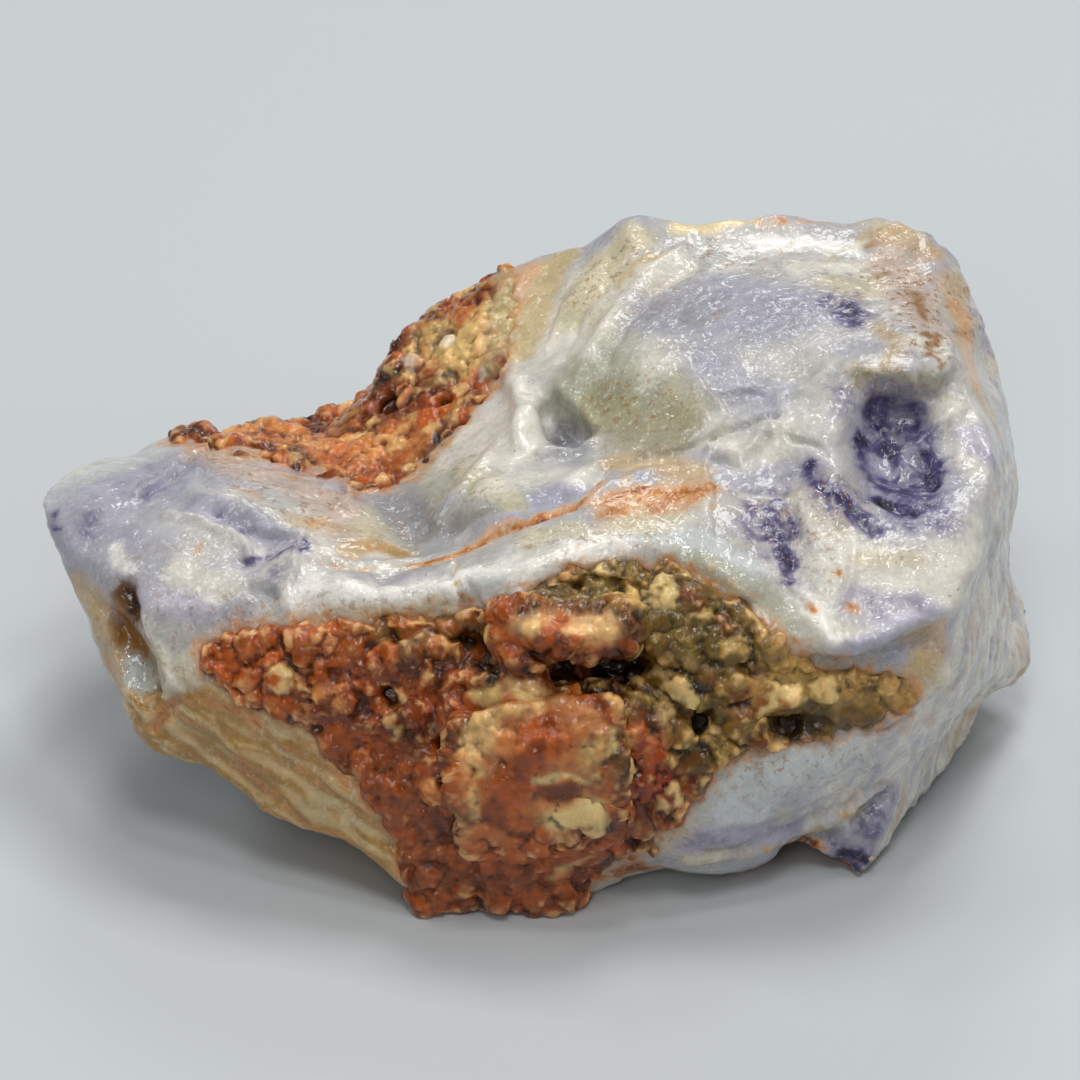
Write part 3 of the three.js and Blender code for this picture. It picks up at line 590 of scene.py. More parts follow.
# colour, half width in mm, strength, then the line of the stroke in the front plane; a few strokes are
# painted shade or a painted highlight, as noted at each
tintStrokesWithPaintedLight = [
    ("lavenderGrey", 4.4, 0.9, [(-28.5, 2), (-25, 2.6), (-22.4, 3.6)]),
    ("ice", 1.4, 0.6, [(-29.6, 2.8), (-26, 4.6), (-22.4, 5.8)]),
    ("lavenderGrey", 3.6, 0.8, [(-27, -0.4), (-24, -1.6), (-21.4, -3)]),
    ("greyMilk", 2.6, 0.9, [(-20.4, -0.6), (-18.6, -1.6), (-17.6, -3.8)]),
    ("greyMilk", 2.2, 0.9, [(-23.6, -4.2), (-22, -5.4), (-20, -4.9), (-18, -5)]),
    ("paleLavender", 1.2, 0.7, [(-24, -3.4), (-21, -4.2), (-18.4, -4.2)]),
    ("milk", 1.2, 0.9, [(-22, -1.8), (-20.6, -2.4), (-19.4, -3), (-18.2, -2.9)]),
    ("chalk", 0.6, 0.7, [(-25.8, -0.6), (-25, -1.6)]),
    ("pinkBeige", 2.2, 0.95, [(-19.8, 5), (-17.8, 4.2), (-15, 3.4), (-12.4, 2.2)]),
    ("paleLavender", 1.3, 0.8, [(-16.6, 4.4), (-14.4, 4.6), (-12.4, 3.4)]),
    ("pinkBeige", 1.4, 0.8, [(-13, 0.8), (-11.6, 0)]),
    ("beige", 0.9, 0.6, [(-14.6, 1.2), (-13, 1), (-11.6, 0.6)]),
    ("lavenderGrey", 1.3, 0.9, [(-21, 2.2), (-19.2, 1.6), (-17.4, 1), (-15.6, 0.2)]),
    ("blueGrey", 0.9, 0.6, [(-19.4, 1.4), (-17.6, 0.6)]),
    ("blueGrey", 1.1, 0.55, [(-18.4, -3.9), (-16.8, -3.2), (-15.6, -3)]),
    ("slate", 1.8, 0.55, [(-8.4, 1.9), (-7.6, 0.9)]),
    ("blueGrey", 2.8, 0.7, [(-9, 2.8), (-7, 1.2), (-6.6, 0.2)]),
    ("greenGrey", 1.6, 0.8, [(-8, 4.4), (-6.2, 4.6), (-5.6, 3)]),
    ("greenGrey", 1.8, 0.7, [(-4, 5.6), (-3.6, 3.6), (-2.6, 2.4)]),
    ("strawMilk", 1, 0.7, [(-4.6, 4.6), (-3.4, 3.4), (-1.4, 2.2)]),
    ("beige", 1.1, 0.9, [(-11.8, -0.7), (-9.8, -0.3), (-8.6, -0.8)]),
    ("tanSkin", 0.8, 0.85, [(-11, -0.5), (-9.8, -0.4), (-8.8, -0.7)]),
    ("milk", 0.5, 0.7, [(-12.4, -1.3), (-9.6, -1.6), (-7.4, -1.3)]),
    ("milk", 2.4, 0.9, [(-5, 5.6), (-3.2, 6.6), (-2.2, 5)]),
    # pale milk along the convex ridge: partly the opal's own pale colour, partly a painted highlight
    ("milk", 1.5, 1, [(-2.4, 9.6), (-1, 8.6), (-0.8, 6.8), (-1.4, 5.6)]),
    ("milk", 1.6, 0.8, [(-2.6, 3.4), (0, 3.6), (2.4, 4)]),
    # painted shade: slate and blue grey in the notch, where shade falls
    ("slate", 1.15, 0.85, [(1.6, 7.6), (1.6, 6.2)]),
    ("blueGrey", 1.2, 0.6, [(2.8, 6.8), (2, 5)]),
    ("beige", 1.3, 0.9, [(4.4, 4.6), (7, 4.6), (9.6, 4)]),
    ("peach", 1.2, 0.75, [(4.4, 2.3), (6.6, 2.7), (9.6, 3.1)]),
    ("peach", 0.5, 0.6,
     [(-5.4, -1), (-3.6, -0.2), (-1.8, 0.7), (0, 1.1), (1.6, 1.7), (2.8, 2.5), (3.6, 3.4)]),
    ("beige", 0.7, 0.7, [(5, 3.9), (5.4, 2.4)]),
    ("beige", 0.5, 0.7, [(7.4, 4.2), (7.8, 2.6)]),
    ("mossMilk", 0.9, 0.6, [(4.4, 5.8), (7.6, 5.4), (10, 6.2)]),
    ("chalk", 1.7, 0.9, [(-14, -3), (-11, -3.3), (-8, -3.2), (-5.6, -3)]),
    ("chalk", 1.7, 0.9, [(-4, -2.8), (-1.6, -2), (1.4, -1), (4.4, -0.2)]),
    ("strawMilk", 1, 0.7, [(0.6, 0.4), (3.4, 0.6), (6, 0.8)]),
    ("ice", 1.3, 0.8, [(-3.6, -3.6), (-2, -3)]),
    ("ice", 1.6, 0.9, [(6.6, -0.4), (9, -0.5), (11, -1.1), (12.4, -2)]),
    ("greenGrey", 1.3, 0.9, [(8.4, -1.4), (11, -2.2), (13.4, -3.6), (15, -5)]),
    ("straw", 0.28, 0.9, [(-5, -1.4), (-5.1, -2.6), (-4.5, -3.8)]),
    ("strawMilk", 0.6, 0.8, [(-14, -4.6), (-11, -4.6), (-8, -4.2), (-5.6, -3.9)]),
    ("greenGrey", 2.8, 0.9, [(2, 9.4), (3.6, 11.4), (4.6, 8.4)]),
    ("strawMilk", 1.8, 0.9, [(2, 14), (3.6, 16.4), (5.6, 18.6)]),
    ("straw", 1.5, 0.75, [(-1.2, 11.6), (-0.6, 14), (0.4, 16), (1.6, 17.6)]),
    ("peach", 0.7, 0.6, [(-2, 13.4), (-1.4, 15.4), (-0.4, 16.8)]),
    ("milk", 0.9, 0.8, [(2.8, 11.4), (4.2, 14), (6.2, 16.2), (8, 17.4)]),
    ("straw", 0.45, 0.7, [(5, 15.8), (5.8, 16.6), (7.4, 17.4)]),
    ("lavenderGrey", 3.2, 0.85, [(7.8, 14.2), (10.6, 15), (13.4, 13.4), (16, 14.2)]),
    ("blueGrey", 2.4, 0.6, [(7, 13.6), (9.4, 14)]),
    ("blueGrey", 2, 0.5, [(13, 11.6), (15, 13.8)]),
    ("blueGrey", 1.5, 0.5, [(9.4, 11.8), (10.6, 11.2)]),
    ("mossMilk", 1.9, 0.85, [(3.6, 8.4), (5.8, 7.4), (8.2, 7)]),
    ("mossMilk", 1.6, 0.6, [(8, 9.2), (9.4, 8)]),
    ("lavenderGrey", 2, 0.7, [(10.4, 10.8), (12.6, 9.4), (14.4, 8.8)]),
    ("greyMilk", 1.8, 0.9, [(13.6, 10.8), (16, 10.8), (17.4, 9.8)]),
    ("milk", 1.4, 0.8, [(11, 6.2), (12.6, 5.2), (14.6, 5.6), (16, 7.2)]),
    ("milk", 1.2, 0.9, [(16, 16.7), (18.4, 16.5), (20.4, 17)]),
    ("chalk", 0.95, 1, [(13.6, 18.1), (16.4, 18.2), (19.4, 18)]),
    ("greyMilk", 1.2, 0.9, [(8.4, 18.2), (10.6, 17.4), (13, 17.2)]),
    ("cream", 0.75, 0.9, [(8.4, 19.2), (10.8, 19.3), (13, 19.6)]),
    ("pinkBeige", 1.9, 0.9, [(21.4, 17), (22.6, 15.2), (23.6, 13.2)]),
    ("milk", 0.9, 0.9, [(22.8, 11.9), (24.2, 12.2), (24.4, 11)]),
    ("ochre", 0.45, 0.85, [(20.2, 18), (21.2, 18.5), (22, 18.9)]),
    ("ochre", 0.35, 0.8, [(23.3, 17.9), (24, 17.5)]),
    ("ochre", 0.45, 0.9, [(22.9, 15), (23, 14.2), (23.4, 13.4)]),
    ("ochre", 0.4, 0.85, [(23.1, 12.6), (24.2, 12.4), (23.4, 11.2), (24.2, 10.8)]),
    ("ochre", 0.3, 0.75, [(20.3, 15.7), (21, 16.1)]),
    ("straw", 0.7, 0.6, [(20.8, 13), (21.6, 12), (21, 11)]),
    ("ochre", 0.4, 0.7, [(19.2, 10), (20.4, 10.2), (21.6, 10.4)]),
    ("dryTan", 1, 0.8, [(20.4, 18.6), (22.4, 18.8), (24, 17.6)]),
    # painted shadow: moss milk just under the lip over the hollow
    ("mossMilk", 1.1, 0.8, [(19.6, 9.6), (21.6, 9.6), (24, 9.4)]),
    ("greyMilk", 2.4, 0.8, [(17, 7.6), (18, 5), (19.4, 3.4)]),
    ("milk", 1.8, 0.9, [(24.4, 7.6), (25.4, 6.2), (26, 5)]),
    ("lavenderGrey", 3.2, 0.8, [(20.6, 6.6), (22, 4), (23, 1.6)]),
    # painted shade: slate in the deepest parts of the hollow
    ("slate", 1.7, 0.7, [(21.2, 7.8), (22.4, 6.8)]),
    ("slate", 0.9, 0.85, [(23.2, 4.8), (23.7, 3.4)]),
    ("milk", 1.4, 0.8, [(15.9, 2), (16.6, 0), (17.4, -1.4)]),
    ("greyMilk", 1.3, 0.7, [(9.4, 2), (11, 3.2), (12, 1.4)]),
    ("milk", 2, 1, [(19.4, -0.8), (21.4, -1.6), (24.4, -0.8), (26, 0.4)]),
    ("milk", 2, 1, [(17.6, -4.8), (19.6, -3.6), (22, -3), (24.8, -3)]),
    ("paleLavender", 1.3, 0.7, [(18.8, -4), (21.4, -4.4), (23.4, -4.2)]),
    ("chalk", 0.5, 1, [(15.4, -2.8), (16.4, -3.8), (17.2, -4.8), (17.6, -6.2)]),
    ("strawMilk", 0.8, 0.7, [(19.8, -1.1), (22.6, -1.3)]),
    ("dryTan", 1.2, 0.8, [(22.6, -5.6), (24, -5.2), (23.6, -7)]),
    ("straw", 1.3, 0.7, [(23, -8), (21.4, -9.6)]),
    ("dryTan", 1.5, 0.85, [(25.2, 15.6), (26, 12.8), (26.2, 10), (27.4, 7.6)]),
    ("peach", 0.8, 0.5, [(25.4, 14.4), (26, 12), (26.4, 9.6)]),
    ("paleLavender", 0.9, 0.8, [(27, 13.6), (27.2, 12)]),
    ("paleLavender", 1.2, 0.7, [(26.2, 6.4), (27.4, 5)]),
    ("milk", 1.6, 0.7, [(27.6, -4.2), (27, -7)]),
    ("dryTan", 0.5, 0.9, [(29.4, -8), (28.2, -9.6), (26.6, -11.4), (24.8, -14)]),
    ("ice", 2.6, 0.9, [(13, -14), (16, -13.6), (18.4, -13)]),
    ("ice", 1.8, 0.8, [(10.4, -16), (13, -16)]),
    ("paleLavender", 0.9, 0.9, [(8.6, -18.4), (11.4, -18), (14.6, -17.4)]),
    ("straw", 0.4, 0.95, [(13.6, -18.8), (15.4, -18.3), (17, -17.5), (18.6, -16.8), (19.6, -16.2)]),
    ("sand", 0.3, 0.8, [(15.2, -19), (17, -18), (18.8, -17.1)]),
    ("lavenderGrey", 1.5, 0.8, [(17.6, -18.6), (19.6, -18), (21.2, -16)]),
    ("dryTan", 1, 0.9, [(-26.6, -3.6), (-26.2, -6), (-25.4, -8.8)]),
    ("ochre", 1.3, 0.95, [(-25.2, -4), (-24.8, -5.6), (-24.2, -6.6)]),
    ("#5c3c1a", 1, 0.95, [(-25, -3.2), (-24.5, -4.6)]),
    ("darkBrown", 0.4, 0.9, [(-24.9, -3.5), (-24.6, -4.2)]),
    ("olive", 0.7, 0.95, [(-24, -6), (-23.4, -7.4), (-22.9, -9)]),
    ("ice", 0.8, 0.9, [(-24.6, -7.6), (-24.2, -9), (-23.8, -10)]),
    ("milk", 0.3, 0.9, [(-23.9, -4.6), (-22.9, -6.6), (-22.2, -8.6), (-21.6, -9.4)]),
    ("dryTan", 1, 0.8, [(-28, -2.4), (-27.2, -4.2), (-26.4, -6.8), (-25.4, -9)]),
]

# strength, half width, line: inky violet in the opal
violetStrokes = [
    (0.6, 2.7, [(21, 7.2), (21.4, 4.6), (22.6, 2)]),
    (0.5, 1.4, [(22.4, 1.4), (24, 1.8)]),
    (0.56, 2, [(21.4, 7.6), (22.6, 6.4)]),
    (1, 0.9, [(19.3, 5.9), (19.5, 5)]),
    (0.66, 0.9, [(22.2, 7.7), (22, 6.9)]),
    (0.9, 0.75, [(23.2, 4.9), (23.6, 4), (23.9, 3)]),
    (1, 0.6, [(20.5, 2.2), (21.3, 1.8), (22.4, 1.6)]),
    (0.7, 0.6, [(16.2, 4.3), (17, 3.2), (17.5, 2.6)]),
    (0.75, 0.65, [(17.5, 2.6), (18.4, 1.9), (19.3, 1.5), (20.4, 0.5)]),
    (0.48, 1.3, [(17.5, 2.8), (19.3, 1.7), (20.6, 0.8)]),
    (0.4, 1.4, [(18.5, 8.6), (19, 7.2)]),
    (0.66, 1, [(14.4, 2.2), (14, 0.8), (14.6, -0.6), (15.1, -2.2)]),
    (0.7, 0.5, [(15, 1.4), (15, -0.6), (15.2, -2.6)]),
    (0.55, 0.6, [(12.6, 1.3), (13.4, 1.9), (14, 1.1)]),
    (0.44, 2, [(13.2, 1.6), (14.6, -0.6)]),
    (0.3, 1.4, [(11.6, 3.2), (13.6, 3.8), (15.4, 4)]),
    (0.3, 1.1, [(19.2, -3.6), (21.4, -4), (23, -3.9)]),
    (0.75, 1.3, [(18.4, 14.3), (19.3, 13.7)]),
    (0.28, 2.4, [(13.4, 14.2), (17.4, 14.6)]),
    (0.3, 1.1, [(8.6, 11.6), (9.6, 11.2)]),
    (0.25, 1.6, [(11, 9.6), (13.6, 9)]),
    (0.35, 0.5, [(16.6, 16.3), (18, 16.4), (19.6, 16)]),
    (0.3, 1.2, [(26.6, 6), (27.4, 4.4)]),
    (0.4, 1, [(26.8, 13.4), (27.6, 11.6), (28, 9)]),
    (0.55, 0.4, [(-29.2, 1.7), (-29.3, 0.7)]),
    (0.34, 1.1, [(-27.6, 0.2), (-27.2, 1.4)]),
    (0.42, 1, [(-23.8, 2.8), (-22, 3.9), (-21, 4.8)]),
    (0.3, 1.8, [(-25.8, 3), (-22.4, 4.8)]),
    (0.72, 0.55, [(-17.6, -1.5), (-16.4, -0.9), (-15, -0.5), (-14.3, -0.2)]),
    (0.4, 1.2, [(-17.4, -1.4), (-14.8, -0.4)]),
    (0.45, 0.7, [(-19.4, 1.5), (-17.9, 0.6)]),
    (0.45, 0.6, [(-12, 3.1), (-11.2, 2.6)]),
    (0.34, 1.3, [(-17, -2), (-15.4, -1.2)]),
    (0.34, 1, [(9.4, -18.2), (12.4, -17.8), (15, -17.2)]),
    (0.85, 0.9, [(18.6, -19.4), (19.4, -19.3)]),
    (0.45, 1.3, [(20.8, -15.8), (20, -17.8), (18, -18.4)]),
    (0.36, 0.7, [(25.8, -6), (25.2, -8.8)]),
    (0.34, 1.1, [(28, -3.6), (27.4, -6.6)]),
    (0.3, 0.8, [(24.4, -11.4), (22.6, -14.4)]),
]

# strength, half width, line: iron stain
rustStrokes = [
    (0.75, 0.3,
     [(-7.8, -1.5), (-5.4, -1), (-3.6, -0.2), (-1.8, 0.7), (0, 1.1), (1.6, 1.7), (2.8, 2.5), (3.6, 3.4)]),
    (0.25, 0.6, [(-2, 0.6), (0, 1.2), (1.6, 1.9), (2.8, 2.6)]),
    (0.75, 0.45, [(4.2, 2.4), (5.6, 3), (7, 3), (8.6, 2.8), (10.2, 3.3)]),
    (0.5, 1, [(4.2, 1.8), (6, 2.2), (8.4, 2.4), (9.8, 3)]),
    (0.35, 0.2, [(-13.4, -1.5), (-11, -1.8), (-9, -1.6), (-7, -1.3)]),
    (0.3, 0.5, [(-10.8, -0.5), (-9.2, -0.4)]),
    (0.45, 0.4, [(13.6, 19.6), (15.6, 19.5), (17.6, 19.7)]),
    (0.7, 0.3, [(18.4, -4), (19, -4.2)]),
    (0.7, 0.2, [(17.7, -1.9), (17.9, -2.1)]),
    (0.6, 0.3, [(16.1, -4), (16.4, -4.4)]),
    (0.65, 0.2, [(-20.6, -0.3), (-20.9, -0.9)]),
    (0.5, 0.4, [(-17.9, 3), (-17.3, 2.7)]),
    (0.5, 0.35, [(-14, 1.1), (-13.3, 1.2)]),
    (0.6, 0.5, [(-22.2, -9.8), (-22.7, -10.7), (-23.2, -11.3)]),
    (0.45, 0.5, [(-22.4, 6.2), (-20.8, 6.3)]),
    (0.8, 0.5, [(6, -19.6), (3, -20.6), (8, -19.9)]),
    (0.8, 0.35, [(15.4, -19.2), (17, -19)]),
    (0.28, 0.6, [(25.6, 14), (25.9, 12.4), (26.4, 10)]),
]

# strength, half width, line: scattered ochre specks
speckStrokes = [
    (0.7, 1.6, [(-19.4, 5), (-17.4, 3.2), (-14.2, 1.6), (-12.6, 3)]),
    (0.5, 1.4, [(-6, 5), (-4.6, 4.4), (-3.6, 2.8)]),
    (0.5, 1.3, [(0, -0.2), (3, 0), (6.4, 0)]),
    (0.45, 1.3, [(-13, -4), (-9, -4), (-6, -3.6)]),
    (0.9, 2, [(21.6, 16.2), (23.2, 14.2), (23.6, 11.8)]),
    (0.6, 1.4, [(10.2, 17.6), (12, 16.6), (14.4, 17)]),
    (0.5, 1.5, [(16.2, 1), (16.8, -1.2)]),
    (0.5, 0.6, [(20.6, -1), (23, -1.2)]),
    (0.8, 1.6, [(25.6, 15), (26.4, 12), (27.4, 8)]),
    (0.6, 1.2, [(4, 16.8), (2.6, 15), (5.6, 17.6)]),
    (0.5, 2, [(13, -14), (17, -13.4)]),
    (0.5, 1, [(19.4, 10), (22, 9.6)]),
    (0.5, 1.2, [(-21, -4.4), (-18, -4.4), (-16, -3.6)]),
    (0.6, 2.2, [(4.6, 8.6), (7.4, 8)]),
    (0.6, 1.2, [(-25.2, -5), (-24, -8)]),
]

# strength, half width, line: where the wet film is rippled and glitters
rippleStrokes = [
    (1, 2.2, [(12, 12.4), (14, 14), (16, 12.4)]),
    (1, 1.8, [(10.4, 9.6), (12.6, 11), (15, 11.4)]),
    (1, 2.2, [(17, 14.6), (20, 14), (22, 12.6)]),
    (0.9, 2, [(17, 1), (16.4, -2), (18, -4)]),
    (0.9, 2, [(21.6, 2.4), (20, 1), (23.4, 1.4)]),
    (0.8, 2, [(-22.4, -1.6), (-19.4, -2.6), (-17, -3.4)]),
    (0.8, 1.6, [(-14.6, -4), (-10, -4), (-6.4, -3.6)]),
    (0.8, 1.4, [(10.6, 5.4), (12.6, 4.6), (14.4, 5.4)]),
    (0.8, 1.4, [(-18, 3.6), (-14, 2)]),
    (0.7, 1.6, [(24.6, 6.4), (24, 9)]),
]

# host rock and cream skin: colour, half width, strength, line; the dark olive and dark brown strokes in the
# grooves, the cavity and the crust's pit are painted shade
rockStrokesWithShade = [
    ("rustOrange", 3, 0.6, [(-19, -7), (-15.4, -6.6), (-12.6, -7)]),
    ("rustBrown", 2.4, 0.7, [(-13, -9.6), (-9.6, -9.4), (-6.6, -8.4)]),
    ("pinkBrown", 3, 0.9, [(-11.4, -13.6), (-8.4, -15.4), (-6.8, -18.6)]),
    ("rustOrange", 1.6, 0.8, [(-18.6, -8.4), (-16, -9)]),
    ("olive", 1.8, 0.8, [(-8.8, -5.2), (-6.6, -5.3), (-4.4, -5.2)]),
    # painted shade: dark olive in the groove
    ("darkOlive", 1.3, 0.95, [(-5, -6.2), (-3.4, -6.8), (-2.6, -7.8)]),
    ("sand", 2.8, 0.7, [(5, -3), (8.4, -3.4), (12, -5.4), (14, -7)]),
    ("olive", 3.2, 0.9, [(0.6, -2.6), (4.4, -2.8), (8, -4), (11, -6)]),
    ("olive", 3, 0.9, [(8, -7.4), (8.4, -10), (10.4, -11.6)]),
    ("sand", 2.4, 0.85, [(15.6, -8.4), (18.4, -8.8), (21.6, -9)]),
    ("olive", 1.6, 0.85, [(13.4, -10), (15.4, -10.8), (18, -10.8), (20, -10.6)]),
    # painted shade: dark olive in the grooves and holes
    ("darkOlive", 0.9, 0.9, [(13.8, -11.2), (15.4, -11.6), (16.6, -11.2)]),
    ("darkOlive", 1.3, 0.95, [(9.4, -9), (9.8, -11.2), (9.4, -12)]),
    ("darkOlive", 0.9, 0.85, [(12.6, -3.6), (11.4, -4.4), (10.4, -5.6)]),
    # painted shade: dark brown in and below the deep cavity
    ("darkBrown", 1.5, 1, [(1.6, -7.6), (3.6, -7.4), (5.6, -7.8)]),
    ("darkBrown", 1, 0.9, [(0.4, -8.6), (4.6, -9.2)]),
    ("peachCream", 1, 0.95, [(-1, -5.3), (0.4, -4.8), (2.4, -5), (4.2, -5.4)]),
    ("rustOrange", 0.55, 0.9, [(-0.6, -6.2), (0.4, -5.6), (1.6, -4.5)]),
    ("peachRock", 3.4, 0.95, [(-2.4, -12.8), (0.4, -12.4), (0.6, -15), (-1.8, -16)]),
    ("rustOrange", 0.9, 0.85, [(2.8, -10.6), (1, -10.6), (-0.6, -11.6)]),
    ("rustOrange", 1.5, 0.95, [(0.8, -12), (-0.6, -13.4), (-1.4, -15)]),
    ("rustBrown", 0.8, 0.8, [(0, -12.6), (-0.6, -13.2), (-1, -14)]),
    ("rustOrange", 1.3, 0.8, [(-2.6, -13.6), (-2.2, -16.4), (-0.6, -17.4)]),
    ("rustBrown", 0.8, 0.8, [(-2.8, -16), (-2.4, -17.4), (-1, -17.8)]),
    ("peachCream", 1.1, 1, [(-3.3, -11), (-3.7, -13.4)]),
    ("peachCream", 0.65, 1, [(-0.4, -10.1), (-3.2, -10.6), (-4.6, -12), (-4.7, -13.6)]),
    ("peachCream", 0.5, 0.95, [(-4.5, -13.4), (-4.3, -15), (-3.7, -16.8)]),
    ("creamRock", 0.7, 0.95, [(-3.8, -9.4), (-2, -9.1), (-0.2, -9.2)]),
    ("peach", 1, 0.85, [(1.6, -10.4), (3, -10.6), (3.6, -11.6)]),
    ("cream", 0.5, 0.9, [(4.1, -11.2), (4.4, -12.4), (3.4, -13.8)]),
    ("creamRock", 0.8, 0.85, [(2.8, -13), (3.2, -12.2)]),
    ("rustBrown", 0.7, 0.9, [(0.4, -15.2), (2, -15), (3.2, -15.4)]),
    ("cream", 0.35, 1, [(-0.2, -14.7), (1.4, -14.2), (3.2, -14.5)]),
    ("cream", 1, 1, [(0.8, -16.8), (1.8, -16.5), (3, -16.3)]),
    ("rustBrown", 2, 0.8, [(6, -15.4), (7.6, -14.2), (5.4, -17)]),
    ("rustRed", 1.6, 0.7, [(6, -12.4), (6.4, -14.4)]),
    ("rustBrown", 1.4, 0.8, [(-5.6, -15), (-5.2, -17.4)]),
    ("rustOrange", 2, 0.8, [(-3.6, -19), (0, -18.6), (3.4, -18.2)]),
    ("pinkBrown", 1.6, 0.7, [(-6, -20.6), (-2, -20.8), (2, -21)]),
    ("creamRock", 0.6, 0.9, [(0.6, -20), (1.8, -19.4), (3.4, -18.4)]),
    ("peachRock", 2.4, 0.8, [(-18, 6.6), (-14, 5.6), (-10.6, 5), (-8.4, 5.4)]),
    ("rustOrange", 0.9, 0.7, [(-17.4, 6.2), (-13, 4.8), (-10, 4.2), (-8.4, 5)]),
    ("rustBrown", 1.6, 0.8, [(-9.4, 7.6), (-7.6, 8.2), (-6.4, 10)]),
    ("rustOrange", 1.4, 0.7, [(-6.6, 7.6), (-4, 9.4)]),
    ("creamRock", 2, 0.8, [(-6.6, 12), (-4.4, 12), (-2.6, 13.4)]),
    ("creamRock", 1.8, 0.7, [(-5, 10.4), (-2.4, 12)]),
    ("sand", 1.8, 0.8, [(-1.6, 14.4), (-0.4, 16.4), (1.6, 17.4)]),
    ("rustOrange", 0.8, 0.7, [(-4.6, 14.8), (-2.4, 15.8), (-0.6, 16.6)]),
    # painted shade: dark brown in the crust's pit
    ("darkBrown", 0.5, 1, [(-9.1, 8.2), (-8.8, 8)]),
    ("strawMilk", 1.2, 0.7, [(-3, 10.8), (-2.2, 13.4), (-1.9, 16)]),
    ("chalk", 0.5, 0.8, [(-5.6, 12.2), (-4.9, 11.8)]),
    ("chalk", 0.5, 0.8, [(-4, 9.6), (-3.4, 10.2)]),
]

# all sizes and depths in mm
surfaceLook = {
    "wetCoat": 0.9,
    "coatRoughness": 0.045,
    "coatIor": 1.4,
    "drySpecular": 0.18,
    "milkiness": 0.22,  # how much light wanders under the surface
    "milkDepth": 1.4,
    "mottleSize": 1.8,
    "grainSize": 0.28,
    "streakSize": 1.7,
    "blotchSize": 0.8,
    "fleckSize": 0.5,
    "dotSize": 0.24,
    "dotSpread": 2.6,
    "veinSize": 0.9,
    "fineSize": 0.3,
    "fineDepth": 0.04,
    "coarseSize": 1.1,
    "coarseDepth": 0.08,
    "filmSize": 1.15,
    "filmDepth": 0.44,
}


def blendStrokes(values, warped, tree, strokes, area):
    for name, width, strength, spots in strokes:
        gap = gapToLine(warped, ontoStone(tree, spots))
        amount = strength * (1 - ease(gap, width * 0.4, width * 1.25)) * area
        values += (linear(name) - values) * amount[:, None]


def gatherStrokes(warped, tree, strokes):
    total = np.zeros(len(warped))
    for strength, width, spots in strokes:
        gap = gapToLine(warped, ontoStone(tree, spots))
        total = np.maximum(total, strength * np.exp(-(gap / width) ** 2 * 0.55))
    return total


def mix(a, b, amount):
    return a + (b - a) * amount[:, None]


def richer(colours, amount):
    # pale colours gain depth, strong ones stay as they are
    grey = (colours @ np.array([0.21, 0.72, 0.07]))[:, None]
    paleness = (colours.min(axis=1) / np.maximum(colours.max(axis=1), 0.001))[:, None]
    return np.clip(grey + (colours - grey) * (1 + amount * paleness), 0, 1)


# sizes in mm of the patches that colour the skin between the strokes
patchSizes = {
    "clouds": 8,
    "skins": 10,
    "fibres": 1.2,
    "layers": 0.9,
    "feathers": 0.9,
    "ink": 7,
    "iron": 5,
    "threads": 1.6,
    "film": 6,
    "grit": 2.4,
    "mottle": 0.9,
}


def patches(name, points, octaves, seed):
    return roughNoise(points, patchSizes[name], octaves, seed)


def softEdges(p):
    return p + wobble(p, 2.2, 0.45, 71) + wobble(p, 0.7, 0.16, 72)


def hostColours(p, warped, tree, ahead):
    grit = patches("grit", p, 4, 85)
    host = np.tile(linear("rustBrown"), (len(p), 1))
    host = mix(host, linear("rustOrange"), ease(grit, -0.05, 0.4))
    host = mix(host, linear("darkBrown"), ease(-grit, 0.15, 0.5))
    mottle = patches("mottle", p, 4, 92)
    warmGrit = linear("creamRock") * 0.4 + linear("peachRock") * 0.6
    host = mix(host, warmGrit, 0.45 * ease(mottle, 0.12, 0.5))
    blendStrokes(host, warped, tree, rockStrokesWithShade, ahead)
    return mix(host, linear("rustBrown"), 0.3 * ease(-mottle, 0.12, 0.5))


def opalTint(p, warped, tree, side, ahead, clouds, skins):
    # milky grey with lavender clouds, and paler and yellower skins here and there
    tintWithPaintedLight = np.tile(linear("greyMilk"), (len(p), 1))
    tintWithPaintedLight = mix(tintWithPaintedLight, linear("lavenderGrey"), ease(clouds, -0.05, 0.5))
    tintWithPaintedLight = mix(tintWithPaintedLight, linear("milk"), ease(-clouds, 0.05, 0.5))
    tintWithPaintedLight = mix(tintWithPaintedLight, linear("strawMilk"), 0.8 * ease(skins, 0.15, 0.5))
    tintWithPaintedLight = mix(tintWithPaintedLight, linear("dryTan"), 0.7 * ease(skins, 0.38, 0.7) * (1 - ahead))
    fibres = patches("fibres", fibreFlow(p), 4, 83)
    tintWithPaintedLight = mix(tintWithPaintedLight, linear("milk"), 0.8 * side)
    tintWithPaintedLight = mix(tintWithPaintedLight, linear("lavenderGrey"), 0.7 * side * ease(fibres, 0, 0.45))
    tintWithPaintedLight = mix(tintWithPaintedLight, linear("pinkBeige"), 0.7 * side * ease(-fibres, 0.05, 0.45))
    blendStrokes(tintWithPaintedLight, warped, tree, tintStrokesWithPaintedLight, ahead)
    return tintWithPaintedLight


def creamTint(layers):
    # the smooth skin below the left lobe, with layers that run along it
    cream = np.tile(linear("tanSkin"), (len(layers), 1))
    cream = mix(cream, linear("beige"), ease(layers, -0.05, 0.3))
    cream = mix(cream, linear("strawMilk"), 0.6 * ease(layers, 0.3, 0.6))
    cream = mix(cream, linear("ochre"), 0.7 * ease(-layers, 0.1, 0.45))
    cream = mix(cream, linear("rustBrown"), 0.5 * ease(-layers, 0.4, 0.7))
    return richer(cream, 0.6)


